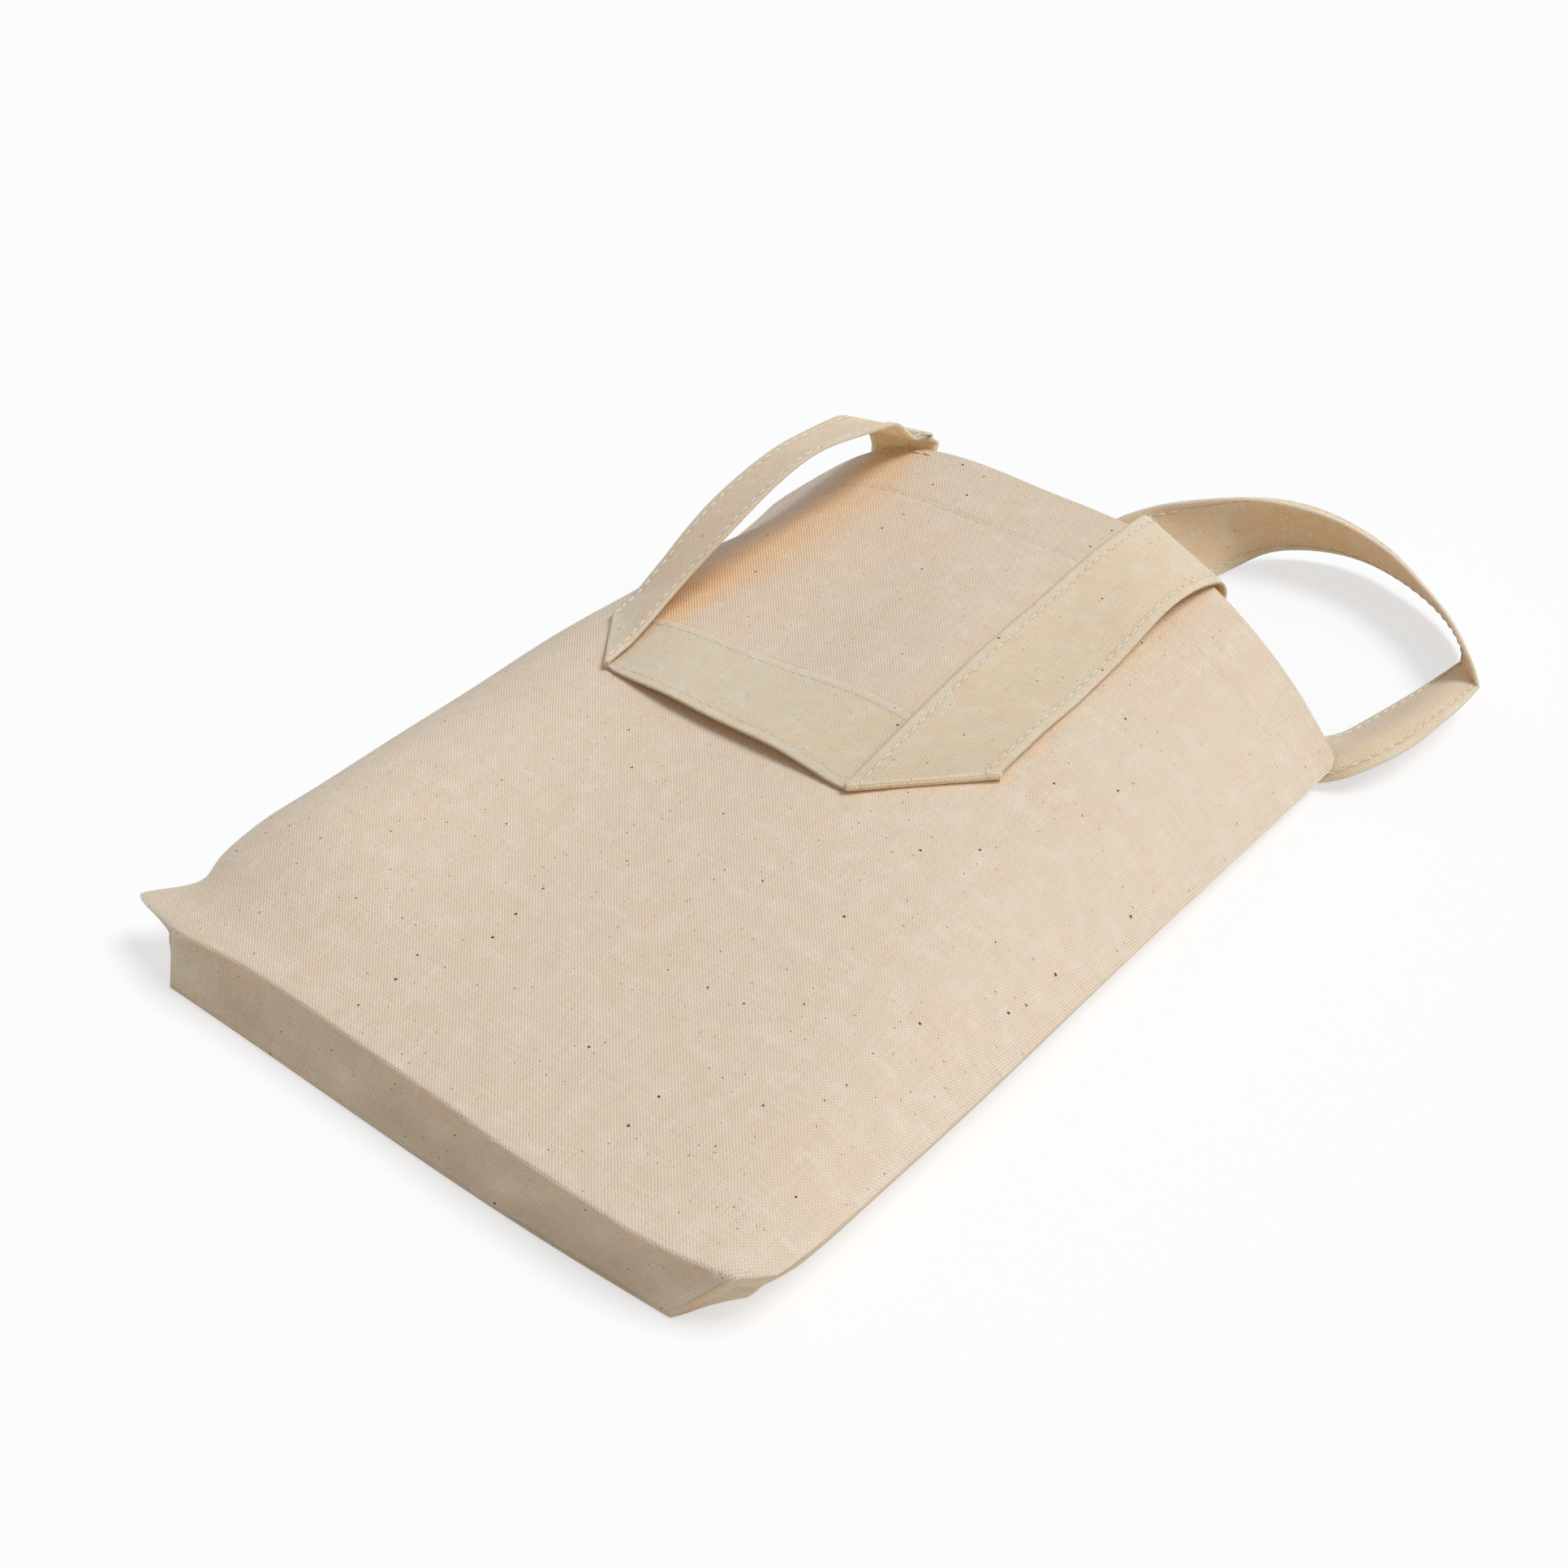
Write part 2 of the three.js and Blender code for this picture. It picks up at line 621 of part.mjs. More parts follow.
add("front_strap", ribbonSolid(frontStrapLines), strapCanvas);
for (const [side, leg, face] of [
  ["right", rightLeg, -1],
  ["left", leftLeg, 1],
]) {
  const sewn = leg.slice(1);
  add(`front_strap_${side}_inner_stitching`, ribbonStitching(sewn, STRAP_STITCH_INSET, face), cottonThread);
  add(`front_strap_${side}_outer_stitching`, ribbonStitching(sewn, FAR_INSET, face), cottonThread);
}
add("front_strap_lower_stitching", crossStitching(CROSS_LOW_Y + STRAP_STITCH_INSET), cottonThread);
add("front_strap_upper_stitching", crossStitching(CROSS_HIGH_Y - STRAP_STITCH_INSET), cottonThread);

add("back_strap", ribbonSolid(backStrap), strapCanvas);
const backSewn = backStrap.slice(2, -2);
add("back_strap_lower_stitching", ribbonStitching(backSewn, STRAP_STITCH_INSET, 1), cottonThread);
add("back_strap_upper_stitching", ribbonStitching(backSewn, FAR_INSET, 1), cottonThread);

export default bag;
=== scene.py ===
"""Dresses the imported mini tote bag: a sagging canvas shell, sewn straps and their rows of stitches."""

import logging
import math
from dataclasses import dataclass, field
from enum import Enum
from typing import Sequence

import bmesh
import bpy
import numpy as np
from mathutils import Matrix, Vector


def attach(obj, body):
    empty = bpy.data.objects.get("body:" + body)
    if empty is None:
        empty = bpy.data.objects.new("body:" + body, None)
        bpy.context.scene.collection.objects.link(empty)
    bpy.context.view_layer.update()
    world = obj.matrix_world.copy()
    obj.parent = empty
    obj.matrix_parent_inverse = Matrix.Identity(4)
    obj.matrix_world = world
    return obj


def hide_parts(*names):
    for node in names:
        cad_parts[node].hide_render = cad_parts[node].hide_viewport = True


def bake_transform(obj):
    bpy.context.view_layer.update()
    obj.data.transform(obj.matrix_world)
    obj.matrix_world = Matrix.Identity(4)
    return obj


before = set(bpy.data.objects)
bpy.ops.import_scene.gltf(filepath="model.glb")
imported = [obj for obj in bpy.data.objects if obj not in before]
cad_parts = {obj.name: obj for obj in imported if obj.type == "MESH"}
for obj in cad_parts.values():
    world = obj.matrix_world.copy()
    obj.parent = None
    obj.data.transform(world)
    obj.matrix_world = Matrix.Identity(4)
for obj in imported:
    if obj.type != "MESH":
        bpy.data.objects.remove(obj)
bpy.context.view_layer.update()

LOG = logging.getLogger("tote")
Array = np.ndarray
Color = tuple[float, float, float]
Place = tuple[float, float, float]
Numbers = tuple[float, ...]
Piece = bpy.types.Object
Socket = bpy.types.NodeSocket


class Slot(Enum):
    """The record's material slots."""

    CANVAS = "canvas"
    STRAP = "strap_canvas"
    THREAD = "thread"


class Body(Enum):
    """The bodies that pieces ride on."""

    BACK = "back"
    FRONT = "front"
    FRONT_HANDLE = "front_handle"
    BACK_HANDLE = "back_handle"


class Side(Enum):
    """A side of the bag, as the sign of its X direction."""

    LEFT = -1
    RIGHT = 1


def srgb(red: int, green: int, blue: int) -> Color:
    """Turns display colour values, from 0 to 255, into linear ones."""
    def linear(value: int) -> float:
        """One channel's linear value."""
        share = value / 255
        return share / 12.92 if share <= 0.04045 else ((share + 0.055) / 1.055) ** 2.4

    return linear(red), linear(green), linear(blue)


def ease(value: Array | float) -> Array | float:
    """A smooth step from 0 to 1."""
    held = np.clip(value, 0.0, 1.0)
    return held * held * (3 - 2 * held)


def curve_through(places: Sequence[float], values: Sequence[object], at: Array) -> Array:
    """A smooth curve through given values.

    Args:
        places: Rising places of the values.
        values: The values there, as numbers or as rows of numbers.
        at: The places asked for.

    Returns:
        The curve's values, from cubic pieces whose bending has no jumps.
    """
    x, y = np.asarray(places, float), np.asarray(values, float)
    steps = np.diff(x)
    system, pull = np.eye(len(x)), np.zeros_like(y)
    for i in range(1, len(x) - 1):
        system[i, i - 1 : i + 2] = steps[i - 1], 2 * (steps[i - 1] + steps[i]), steps[i]
        pull[i] = 6 * ((y[i + 1] - y[i]) / steps[i] - (y[i] - y[i - 1]) / steps[i - 1])
    bend = np.linalg.solve(system, pull)
    at = np.clip(np.asarray(at, float), x[0], x[-1])
    k = np.clip(np.searchsorted(x, at, side="right") - 1, 0, len(x) - 2)
    h, after, before = steps[k], at - x[k], x[k + 1] - at
    if y.ndim > 1:
        h, after, before = h[..., None], after[..., None], before[..., None]
    start = bend[k] * before**3 / (6 * h) + (y[k] / h - bend[k] * h / 6) * before
    end = bend[k + 1] * after**3 / (6 * h) + (y[k + 1] / h - bend[k + 1] * h / 6) * after
    return start + end


class Shader:
    """A material's or a sky's node tree, built a node at a time."""

    def __init__(self, owner: bpy.types.Material | bpy.types.World) -> None:
        """Empties its owner's node tree."""
        self.owner = owner
        owner.use_nodes = True
        self.tree = owner.node_tree
        self.tree.nodes.clear()

    def node(
        self, kind: str, inputs: dict[str | int, object] | None = None, **settings: object
    ) -> bpy.types.Node:
        """Adds a node.

        Args:
            kind: The node's type.
            inputs: Values or sockets for its inputs, by name or number.
            settings: The node's own properties.

        Returns:
            The new node.
        """
        made = self.tree.nodes.new(kind)
        for key, value in settings.items():
            setattr(made, key, value)
        for key, value in (inputs or {}).items():
            if isinstance(value, Socket):
                self.tree.links.new(value, made.inputs[key])
            else:
                made.inputs[key].default_value = value
        return made

    def math(self, operation: str, first: object, second: object = 0.0, third: object = 0.0) -> Socket:
        """Adds a math node and returns its value."""
        inputs = {0: first, 1: second, 2: third}
        return self.node("ShaderNodeMath", inputs, operation=operation).outputs[0]

    def blend(self, share: object, first: object, second: object, kind: str = "MIX") -> Socket:
        """Adds a colour mix, with a share of the second colour, and returns its colour."""
        inputs = {0: share, 6: first, 7: second}
        return self.node("ShaderNodeMix", inputs, data_type="RGBA", blend_type=kind).outputs[2]

    def spread(self, value: object, low: float, high: float) -> Socket:
        """Maps a value from low..high to 0..1, smoothly and held at the ends."""
        inputs = {0: value, 1: low, 2: high}
        return self.node("ShaderNodeMapRange", inputs, interpolation_type="SMOOTHSTEP").outputs[0]

    def noise(self, place: Socket, scale: float, detail: float, roughness: float = 0.5) -> bpy.types.Node:
        """Adds a flat noise texture."""
        inputs = {"Vector": place, "Scale": scale, "Detail": detail, "Roughness": roughness}
        return self.node("ShaderNodeTexNoise", inputs, noise_dimensions="2D")

    def vector(self, operation: str, *values: object) -> Socket:
        """Adds a vector math node and returns its vector."""
        return self.node("ShaderNodeVectorMath", dict(enumerate(values)), operation=operation).outputs[0]

    def bump(self, strength: float, distance: float, height: Socket) -> Socket:
        """Adds a bump node and returns its face direction."""
        inputs = {"Strength": strength, "Distance": distance, "Height": height}
        return self.node("ShaderNodeBump", inputs).outputs[0]

    def finish(
        self, surface: bpy.types.Node, output: str = "ShaderNodeOutputMaterial"
    ) -> bpy.types.Material | bpy.types.World:
        """Leads a surface to the output and returns the finished material or sky."""
        self.node(output, {"Surface": surface.outputs[0]})
        return self.owner


@dataclass(frozen=True)
class CanvasFinish:
    """Unbleached plain-weave cotton canvas with slubs, faint blotches and seed specks."""

    name: str
    cloth: Color = srgb(235, 216, 194)
    warm: Color = srgb(236, 210, 181)
    pale: Color = srgb(242, 229, 214)
    # fold: painted warm bounce light, the colour mixed in where cloth faces cloth
    fold: Color = srgb(246, 211, 167)
    seed: Color = srgb(70, 46, 28)
    warp: float = 0.000535
    weft: float = 0.00058
    wander: float = 0.00022
    wander_scale: float = 170.0
    slub_scales: tuple[Place, ...] = ((1900.0, 95.0, 1.0), (80.0, 1800.0, 1.0))
    warm_scale: float = 34.0
    warm_share: float = 0.3
    pale_scale: float = 150.0
    pale_share: float = 0.4
    gap_shade: float = 0.52
    slub_shade: float = 0.17
    # the reach and share of the painted warm bounce light, found by ambient occlusion
    painted_bounce_reach: float = 0.036
    painted_bounce_share: float = 0.95
    weave_shade: float = 0.055
    seed_spacing: float = 0.0115
    seed_radius: float = 0.00042
    fleck_spacing: float = 0.0044
    fleck_radius: float = 0.00028
    fleck_strength: float = 0.6
    stir_scale: float = 1500.0
    stir_reach: float = 0.0004
    weave_depth: float = 0.00016
    roughness: float = 0.93
    sheen: float = 0.08
    glow: float = 0.22
    glow_depth: float = 0.0015
    glow_spread: Color = (1.0, 0.58, 0.32)

    def material(self) -> bpy.types.Material:
        """Makes the canvas material on a piece's cloth coordinates.

        Returns:
            The material, with its weave in metres.
        """
        shader = Shader(bpy.data.materials.new(self.name))
        cloth = shader.node("ShaderNodeTexCoord").outputs["UV"]
        drift = shader.noise(cloth, self.wander_scale, 2.0)
        shift = shader.vector("SUBTRACT", drift.outputs["Color"], (0.5, 0.5, 0.5))
        moved = shader.vector("MULTIPLY_ADD", shift, (self.wander * 2,) * 3, cloth)
        axes = shader.node("ShaderNodeSeparateXYZ", {0: moved})
        across = shader.math("SINE", shader.math("MULTIPLY", axes.outputs[0], math.pi / self.warp))
        along = shader.math("SINE", shader.math("MULTIPLY", axes.outputs[1], math.pi / self.weft))
        cross = shader.math("MULTIPLY", across, along)
        low_across = shader.math("SUBTRACT", 1.0, shader.math("ABSOLUTE", across))
        low_along = shader.math("SUBTRACT", 1.0, shader.math("ABSOLUTE", along))
        hole = shader.spread(shader.math("MULTIPLY", low_across, low_along), 0.08, 0.75)
        slub = self._slubs(shader, cloth)
        color = self._ground(shader, cloth)
        thread = shader.math("MULTIPLY_ADD", slub, 2 * self.slub_shade, 1.0 - self.slub_shade)
        thread = shader.math("MULTIPLY_ADD", cross, self.weave_shade, thread)
        shade = shader.math("SUBTRACT", thread, shader.math("MULTIPLY", hole, self.gap_shade))
        tone = shader.node("ShaderNodeCombineXYZ", {0: shade, 1: shade, 2: shade}).outputs[0]
        color = shader.blend(1.0, color, tone, "MULTIPLY")
        color = self._specks(shader, cloth, self._painted_bounce(shader, color))
        raised = shader.math("MULTIPLY", cross, 0.5)
        height = shader.math("ADD", raised, shader.math("MULTIPLY", slub, 0.9))
        surface = shader.node(
            "ShaderNodeBsdfPrincipled",
            {
                "Base Color": color,
                "Roughness": self.roughness,
                "Specular IOR Level": 0.2,
                "Sheen Weight": self.sheen,
                "Sheen Roughness": 0.6,
                "Subsurface Weight": self.glow,
                "Subsurface Radius": self.glow_spread,
                "Subsurface Scale": self.glow_depth,
                "Normal": shader.bump(1.0, self.weave_depth, height),
            },
        )
        return shader.finish(surface)

    def _slubs(self, shader: Shader, cloth: Socket) -> Socket:
        """Thick and thin stretches of thread, both ways of the cloth, as a value around 0.5."""
        rows = []
        for scale in self.slub_scales:
            place = shader.vector("MULTIPLY", cloth, scale)
            rows.append(shader.noise(place, 1.0, 2.0, roughness=0.6).outputs[0])
        return shader.math("MULTIPLY", shader.math("ADD", rows[0], rows[1]), 0.5)

    def _ground(self, shader: Shader, cloth: Socket) -> Socket:
        """The cloth's colour with warm and pale blotches."""
        broad = shader.noise(cloth, self.warm_scale, 3.0).outputs[0]
        fine = shader.noise(cloth, self.pale_scale, 3.0).outputs[0]
        warm = shader.math("MULTIPLY", shader.spread(broad, 0.42, 0.75), self.warm_share)
        pale = shader.math("MULTIPLY", shader.spread(fine, 0.45, 0.75), self.pale_share)
        color = shader.blend(warm, (*self.cloth, 1.0), (*self.warm, 1.0))
        return shader.blend(pale, color, (*self.pale, 1.0))

    def _painted_bounce(self, shader: Shader, color: Socket) -> Socket:
        """Paints warm bounce light into the colour where cloth faces cloth: under the straps and inside the
        folds.
        """
        # ambient occlusion finds where cloth faces cloth; the painted warm bounce light goes there
        room = shader.node("ShaderNodeAmbientOcclusion", {"Distance": self.painted_bounce_reach}, samples=6)
        closed = shader.math("SUBTRACT", 1.0, room.outputs["AO"])
        share = shader.math("MULTIPLY", shader.spread(closed, 0.15, 0.72), self.painted_bounce_share)
        bounce_tint = [folded / flat for folded, flat in zip(self.fold, self.cloth)]
        bounce_lit = shader.blend(1.0, color, (*bounce_tint, 1.0), "MULTIPLY")
        return shader.blend(share, color, bounce_lit)

    def _specks(self, shader: Shader, cloth: Socket, color: Socket) -> Socket:
        """Dark seed specks and smaller flecks in the weave.

        Args:
            shader: The material being built.
            cloth: The cloth coordinates.
            color: The colour below the specks.

        Returns:
            The colour with specks.
        """
        stir = shader.noise(cloth, self.stir_scale, 1.0)
        off = shader.vector("MULTIPLY_ADD", stir.outputs["Color"], (self.stir_reach,) * 3, cloth)
        for spacing, radius, strength in (
            (self.seed_spacing, self.seed_radius, 1.0),
            (self.fleck_spacing, self.fleck_radius, self.fleck_strength),
        ):
            inputs = {"Vector": off, "Scale": 1 / spacing}
            cells = shader.node("ShaderNodeTexVoronoi", inputs, voronoi_dimensions="2D")
            chance = shader.node("ShaderNodeSeparateColor", {0: cells.outputs["Color"]})
            reach = shader.math("MULTIPLY", shader.spread(chance.outputs[0], 0.25, 1.0), radius / spacing)
            near = shader.math("DIVIDE", cells.outputs["Distance"], shader.math("ADD", reach, 0.0001))
            spot = shader.math("SUBTRACT", 1.0, shader.spread(near, 0.6, 1.25))
            dark = shader.math("MULTIPLY", shader.spread(chance.outputs[1], 0.0, 0.8), strength)
            color = shader.blend(shader.math("MULTIPLY", spot, dark), color, (*self.seed, 1.0))
        return color


@dataclass(frozen=True)
class ThreadFinish:
    """Undyed twisted sewing thread."""

    name: str
    thread: Color = srgb(248, 238, 222)
    ply: Color = srgb(236, 221, 199)

    def material(self) -> bpy.types.Material:
        """Makes the thread's material, with its plies as slanting bands."""
        shader = Shader(bpy.data.materials.new(self.name))
        cloth = shader.node("ShaderNodeTexCoord").outputs["UV"]
        band = shader.node(
            "ShaderNodeTexWave",
            {"Vector": cloth, "Scale": 900.0, "Distortion": 1.5, "Detail": 1.0},
            wave_type="BANDS",
            bands_direction="DIAGONAL",
        )
        color = shader.blend(band.outputs[1], (*self.thread, 1.0), (*self.ply, 1.0))
        twist = shader.bump(0.4, 0.0001, band.outputs[1])
        surface = shader.node(
            "ShaderNodeBsdfPrincipled",
            {"Base Color": color, "Roughness": 0.75, "Specular IOR Level": 0.25, "Normal": twist},
        )
        return shader.finish(surface)


@dataclass(frozen=True)
class NeedleHoleFinish:
    """The shaded hole that a needle leaves at each end of a stitch."""

    name: str
    hole: Color = srgb(168, 136, 102)

    def material(self) -> bpy.types.Material:
        """Makes the hole's material."""
        shader = Shader(bpy.data.materials.new(self.name))
        place = shader.node("ShaderNodeTexCoord").outputs["Object"]
        noise = shader.node("ShaderNodeTexNoise", {"Vector": place, "Scale": 900.0})
        color = shader.blend(noise.outputs[0], (*self.hole, 1.0), (*(0.6 * c for c in self.hole), 1.0))
        surface = shader.node("ShaderNodeBsdfPrincipled", {"Base Color": color, "Roughness": 0.95})
        return shader.finish(surface)


@dataclass
class Patch:
    """A grid of points with cloth coordinates, in metres."""

    points: Array
    cloth: Array


class Tailor:
    """Makes cloth pieces from patches."""

    def __init__(self) -> None:
        """Makes the finishes that all the pieces share."""
        self.canvas = CanvasFinish("natural_canvas").material()
        self.strap = CanvasFinish(
            "strap_canvas",
            cloth=srgb(243, 214, 187),
            warm=srgb(239, 207, 172),
            seed_spacing=0.014,
            # the straps take less painted warm bounce light
            painted_bounce_share=0.4,
            glow=0.9,
            glow_depth=0.0038,
            glow_spread=(1.0, 0.74, 0.54),
        ).material()
        self.thread = ThreadFinish("sewing_thread").material()
        self.hole = NeedleHoleFinish("needle_hole").material()

    @staticmethod
    def mesh_from(
        name: str, patches: Sequence[Patch], material: bpy.types.Material, merge: float = 2e-6
    ) -> Piece:
        """Joins patches along their shared edges into one object.

        Args:
            name: The object's name.
            patches: The grids to join.
            material: The object's material.
            merge: The distance within which points are joined.

        Returns:
            The new object.
        """
        points, faces, coords = [], [], []
        start = 0
        for patch in patches:
            rows, columns = patch.points.shape[:2]
            points.append(patch.points.reshape(-1, 3))
            index = np.arange(rows * columns).reshape(rows, columns) + start
            corners = [index[:-1, :-1], index[:-1, 1:], index[1:, 1:], index[1:, :-1]]
            quads = np.stack(corners, axis=-1).reshape(-1, 4)
            faces.append(quads)
            coords.append(patch.cloth.reshape(-1, 2)[quads - start].reshape(-1, 2))
            start += rows * columns
        mesh = bpy.data.meshes.new(name)
        mesh.from_pydata(np.concatenate(points).tolist(), [], np.concatenate(faces).tolist())
        layer = mesh.uv_layers.new(name="cloth")
        layer.data.foreach_set("uv", np.concatenate(coords).astype(np.float32).ravel())
        made = bmesh.new()
        made.from_mesh(mesh)
        bmesh.ops.remove_doubles(made, verts=made.verts, dist=merge)
        bmesh.ops.dissolve_degenerate(made, edges=made.edges, dist=1e-7)
        bmesh.ops.recalc_face_normals(made, faces=made.faces)
        made.to_mesh(mesh)
        made.free()
        mesh.polygons.foreach_set("use_smooth", [True] * len(mesh.polygons))
        mesh.materials.append(material)
        piece = bpy.data.objects.new(name, mesh)
        bpy.context.scene.collection.objects.link(piece)
        return piece

    @staticmethod
    def thicken(piece: Piece, thickness: float, offset: float = -1.0) -> None:
        """Gives an open sheet its thickness, and applies it.

        Args:
            piece: The sheet.
            thickness: The cloth's thickness.
            offset: -1 grows it inwards and 1 outwards.
        """
        modifier = piece.modifiers.new("thickness", "SOLIDIFY")
        modifier.thickness = thickness
        modifier.offset = offset
        graph = bpy.context.evaluated_depsgraph_get()
        done = bpy.data.meshes.new_from_object(piece.evaluated_get(graph), depsgraph=graph)
        old = piece.data
        name = old.name
        piece.modifiers.clear()
        piece.data = done
        bpy.data.meshes.remove(old)
        done.name = name

    def lining(self, name: str, points: Array, shift: float, thickness: float) -> Piece:
        """Makes a sheet of canvas that lies inside the bag, thickened downwards.

        Args:
            name: The piece's name.
            points: The sheet's upper face, as a grid.
            shift: Moves its cloth coordinates, so that its specks differ from the other sheets'.
            thickness: The cloth's thickness.

        Returns:
            The piece.
        """
        piece = self.mesh_from(name, [Patch(points, points[..., :2] + shift)], self.canvas)
        if piece.data.polygons[0].normal.z < 0:
            piece.data.flip_normals()
        self.thicken(piece, thickness)
        return piece


def run_along(path: Array) -> Array:
    """The distance along a path, at each of its points."""
    return np.concatenate([[0.0], np.cumsum(np.linalg.norm(np.diff(path, axis=0), axis=-1))])


def run_across(points: Array) -> Array:
    """The distance along each row of a grid, at each of its points."""
    return np.cumsum(np.linalg.norm(np.diff(points, axis=1, prepend=points[:, :1]), axis=-1), axis=1)


def grid_normals(points: Array) -> Array:
    """The face directions of a grid: along its columns crossed with along its rows, as unit vectors."""
    normal = np.cross(np.gradient(points, axis=1), np.gradient(points, axis=0))
    return normal / np.maximum(np.linalg.norm(normal, axis=-1, keepdims=True), 1e-12)


@dataclass(frozen=True)
class Swell:
    """A place where the slack front panel swells or sinks: its middle, its reach, and its rise."""

    across: float
    from_bottom: float
    spread: float
    below: float
    above: float
    rise: float

    def height(self, u: Array, d: Array) -> Array:
        """The height it adds, at places from -1 to 1 across and at distances from the bottom."""
        along = d - self.from_bottom
        reach = np.where(along < 0, self.below, self.above)
        return self.rise * np.exp(-(((u - self.across) / self.spread) ** 2) - (along / reach) ** 2)


@dataclass(frozen=True)
class BagShape:
    """The bag's body lying on its back: a crowned front over a flat back, in metres."""

    length: float = 0.280
    base_width: float = 0.178
    front_base_width: float = 0.203
    front_mouth_width: float = 0.216
    front_base_shift: float = 0.0085
    front_mouth_shift: float = -0.004
    base_crown: float = 0.022
    middle_crown: float = 0.037
    mouth_crown: float = 0.052
    base_edge: float = 0.0185
    mouth_edge: float = 0.006
    mouth_tuck: float = 0.005
    corner_rounding: float = 0.0065
    ear_reach: float = 0.0162
    ear_droop: float = 0.0022
    ear_top: float = 0.0225
    ear_rise: float = 0.0075
    ear_fade: float = 0.0165
    ear_tuck: float = 0.0038
    tuck_depth: float = 0.005
    base_flatness: float = 8.0
    mouth_flatness: float = 3.0
    side_power: int = 6
    ear_power: int = 12
    side_swell: float = 0.0032
    left_foot_share: float = 0.5
    lip: float = 0.0010
    cloth: float = 0.001
    hem_line: float = 0.023
    hem_fade: float = 0.002
    hem_step: float = 0.0002
    seam_dip: float = 0.0001
    seam_width: float = 0.0011
    ripple: float = 0.0003
    fold_depth: float = 0.045
    mouth_depth: float = 0.045
    fold_places: Numbers = (
        -0.095, -0.087, -0.065, -0.039, -0.005, 0.015, 0.030, 0.057, 0.087, 0.097, 0.104, 0.110,
    )
    fold_insets: Numbers = (
        0.0040, 0.0030, 0.0038, 0.0040, 0.0028, 0.0021, 0.0010, 0.0003, 0.0017, 0.0043, 0.0073, 0.0115,
    )
    foot_places: Numbers = (0.0, 0.002, 0.009, 0.016, 0.025, 0.053, 0.100, 0.180, 0.280)
    foot_swells: Numbers = (0.0, 0.0012, 0.0041, 0.0060, 0.0075, 0.0083, 0.0074, 0.0034, 0.0)
    left_places: Numbers = (
        0.0, 0.010, 0.018, 0.027, 0.036, 0.050, 0.066, 0.097, 0.140, 0.178, 0.205, 0.280,
    )
    left_fills: Numbers = (
        0.0, -0.0006, 0.0004, 0.0020, 0.0021, 0.0017, 0.0014, 0.0020, 0.0026, 0.0022, 0.0006, 0.0,
    )
    right_places: Numbers = (0.0, 0.006, 0.020, 0.040, 0.080, 0.125, 0.170, 0.210, 0.250, 0.280)
    right_fills: Numbers = (0.0, 0.0004, 0.0013, 0.0016, 0.0021, 0.0016, 0.0009, 0.0008, 0.0005, 0.0)
    mouth_places: Numbers = (-1.0, -0.6, -0.3, 0.0, 0.25, 0.5, 0.7, 0.85, 1.0)
    mouth_insets: Numbers = (0.0015, 0.0010, 0.0003, 0.0008, 0.0002, 0.0015, 0.0030, 0.0036, 0.0045)
    swells: tuple[Swell, ...] = (
        Swell(across=-0.85, from_bottom=0.050, spread=0.36, below=0.028, above=0.062, rise=0.008),
        Swell(across=0.18, from_bottom=0.205, spread=0.36, below=0.080, above=0.048, rise=0.0086),
        Swell(across=-0.75, from_bottom=0.215, spread=0.2, below=0.045, above=0.050, rise=-0.0032),
        Swell(across=-0.88, from_bottom=0.258, spread=0.2, below=0.023, above=0.030, rise=-0.0070),
    )

    @property
    def bottom(self) -> float:
        """The bottom's Y."""
        return -self.length / 2

    @property
    def mouth(self) -> float:
        """The mouth's Y."""
        return self.length / 2

    def along(self, y: Array) -> Array:
        """How far up the bag a Y is, from 0 at the bottom to 1 at the mouth."""
        return (y - self.bottom) / self.length

    def half_width(self, v: Array) -> Array:
        """Half the front panel's width."""
        return (self.front_base_width + (self.front_mouth_width - self.front_base_width) * v) / 2

    def centre(self, v: Array) -> Array:
        """The front panel's middle."""
        return self.front_base_shift + (self.front_mouth_shift - self.front_base_shift) * v

    def edge(self, v: Array) -> Array:
        """The height of the front panel's sides."""
        return self.base_edge + (self.mouth_edge - self.base_edge) * v

    def crown(self, v: Array) -> Array:
        """The height of the front panel's middle."""
        swell = np.sin(np.minimum(v / 0.5, 1.0) * math.pi / 2)
        gape = np.maximum(0.0, (v - 0.5) / 0.5) ** 1.6
        rise = self.middle_crown - self.base_crown
        return self.base_crown + rise * swell + (self.mouth_crown - self.middle_crown) * gape

    def height(self, x: Array, y: Array) -> Array:
        """The front panel's height above the floor, with its soft undulations.

        Args:
            x: Places across the bag.
            y: Places along the bag.

        Returns:
            The heights.
        """
        v = np.clip(self.along(y), 0.0, 1.0)
        u = np.clip((x - self.centre(v)) / self.half_width(v), -1.0, 1.0)
        fall = self.crown(v) - self.edge(v)
        flatness = self.base_flatness - (self.base_flatness - self.mouth_flatness) * v
        plain = self.crown(v) - fall * np.abs(u) ** flatness
        inside = (1 - u**4) * ease(v / 0.1)
        wave = np.sin(41 * x + 17 * y + 0.6) * np.sin(23 * y - 19 * x + 1.9)
        wave = wave + 0.6 * np.sin(67 * x - 31 * y + 2.4)
        slack = sum(swell.height(u, v * self.length) for swell in self.swells)
        return plain + slack + self.ripple * wave * inside

    def fold_inset(self, x: Array) -> Array:
        """How far the bottom's upper fold is drawn in, across the bag."""
        return curve_through(self.fold_places, self.fold_insets, x)

    def right_edge(self, d: Array) -> Array:
        """The front panel's rounding at its right bottom corner, by the distance from the bottom."""
        return self.corner_rounding * np.maximum(0.0, 1 - d / self.corner_rounding) ** 2

    def ear(self, d: Array) -> Array:
        """The left corner's pinched ear: how far it stands out, by the distance from the bottom."""
        rise = np.sin(np.clip(d / self.ear_rise, 0.0, 1.0) * math.pi / 2)
        return self.ear_reach * rise * ease((self.ear_top - d) / self.ear_fade)

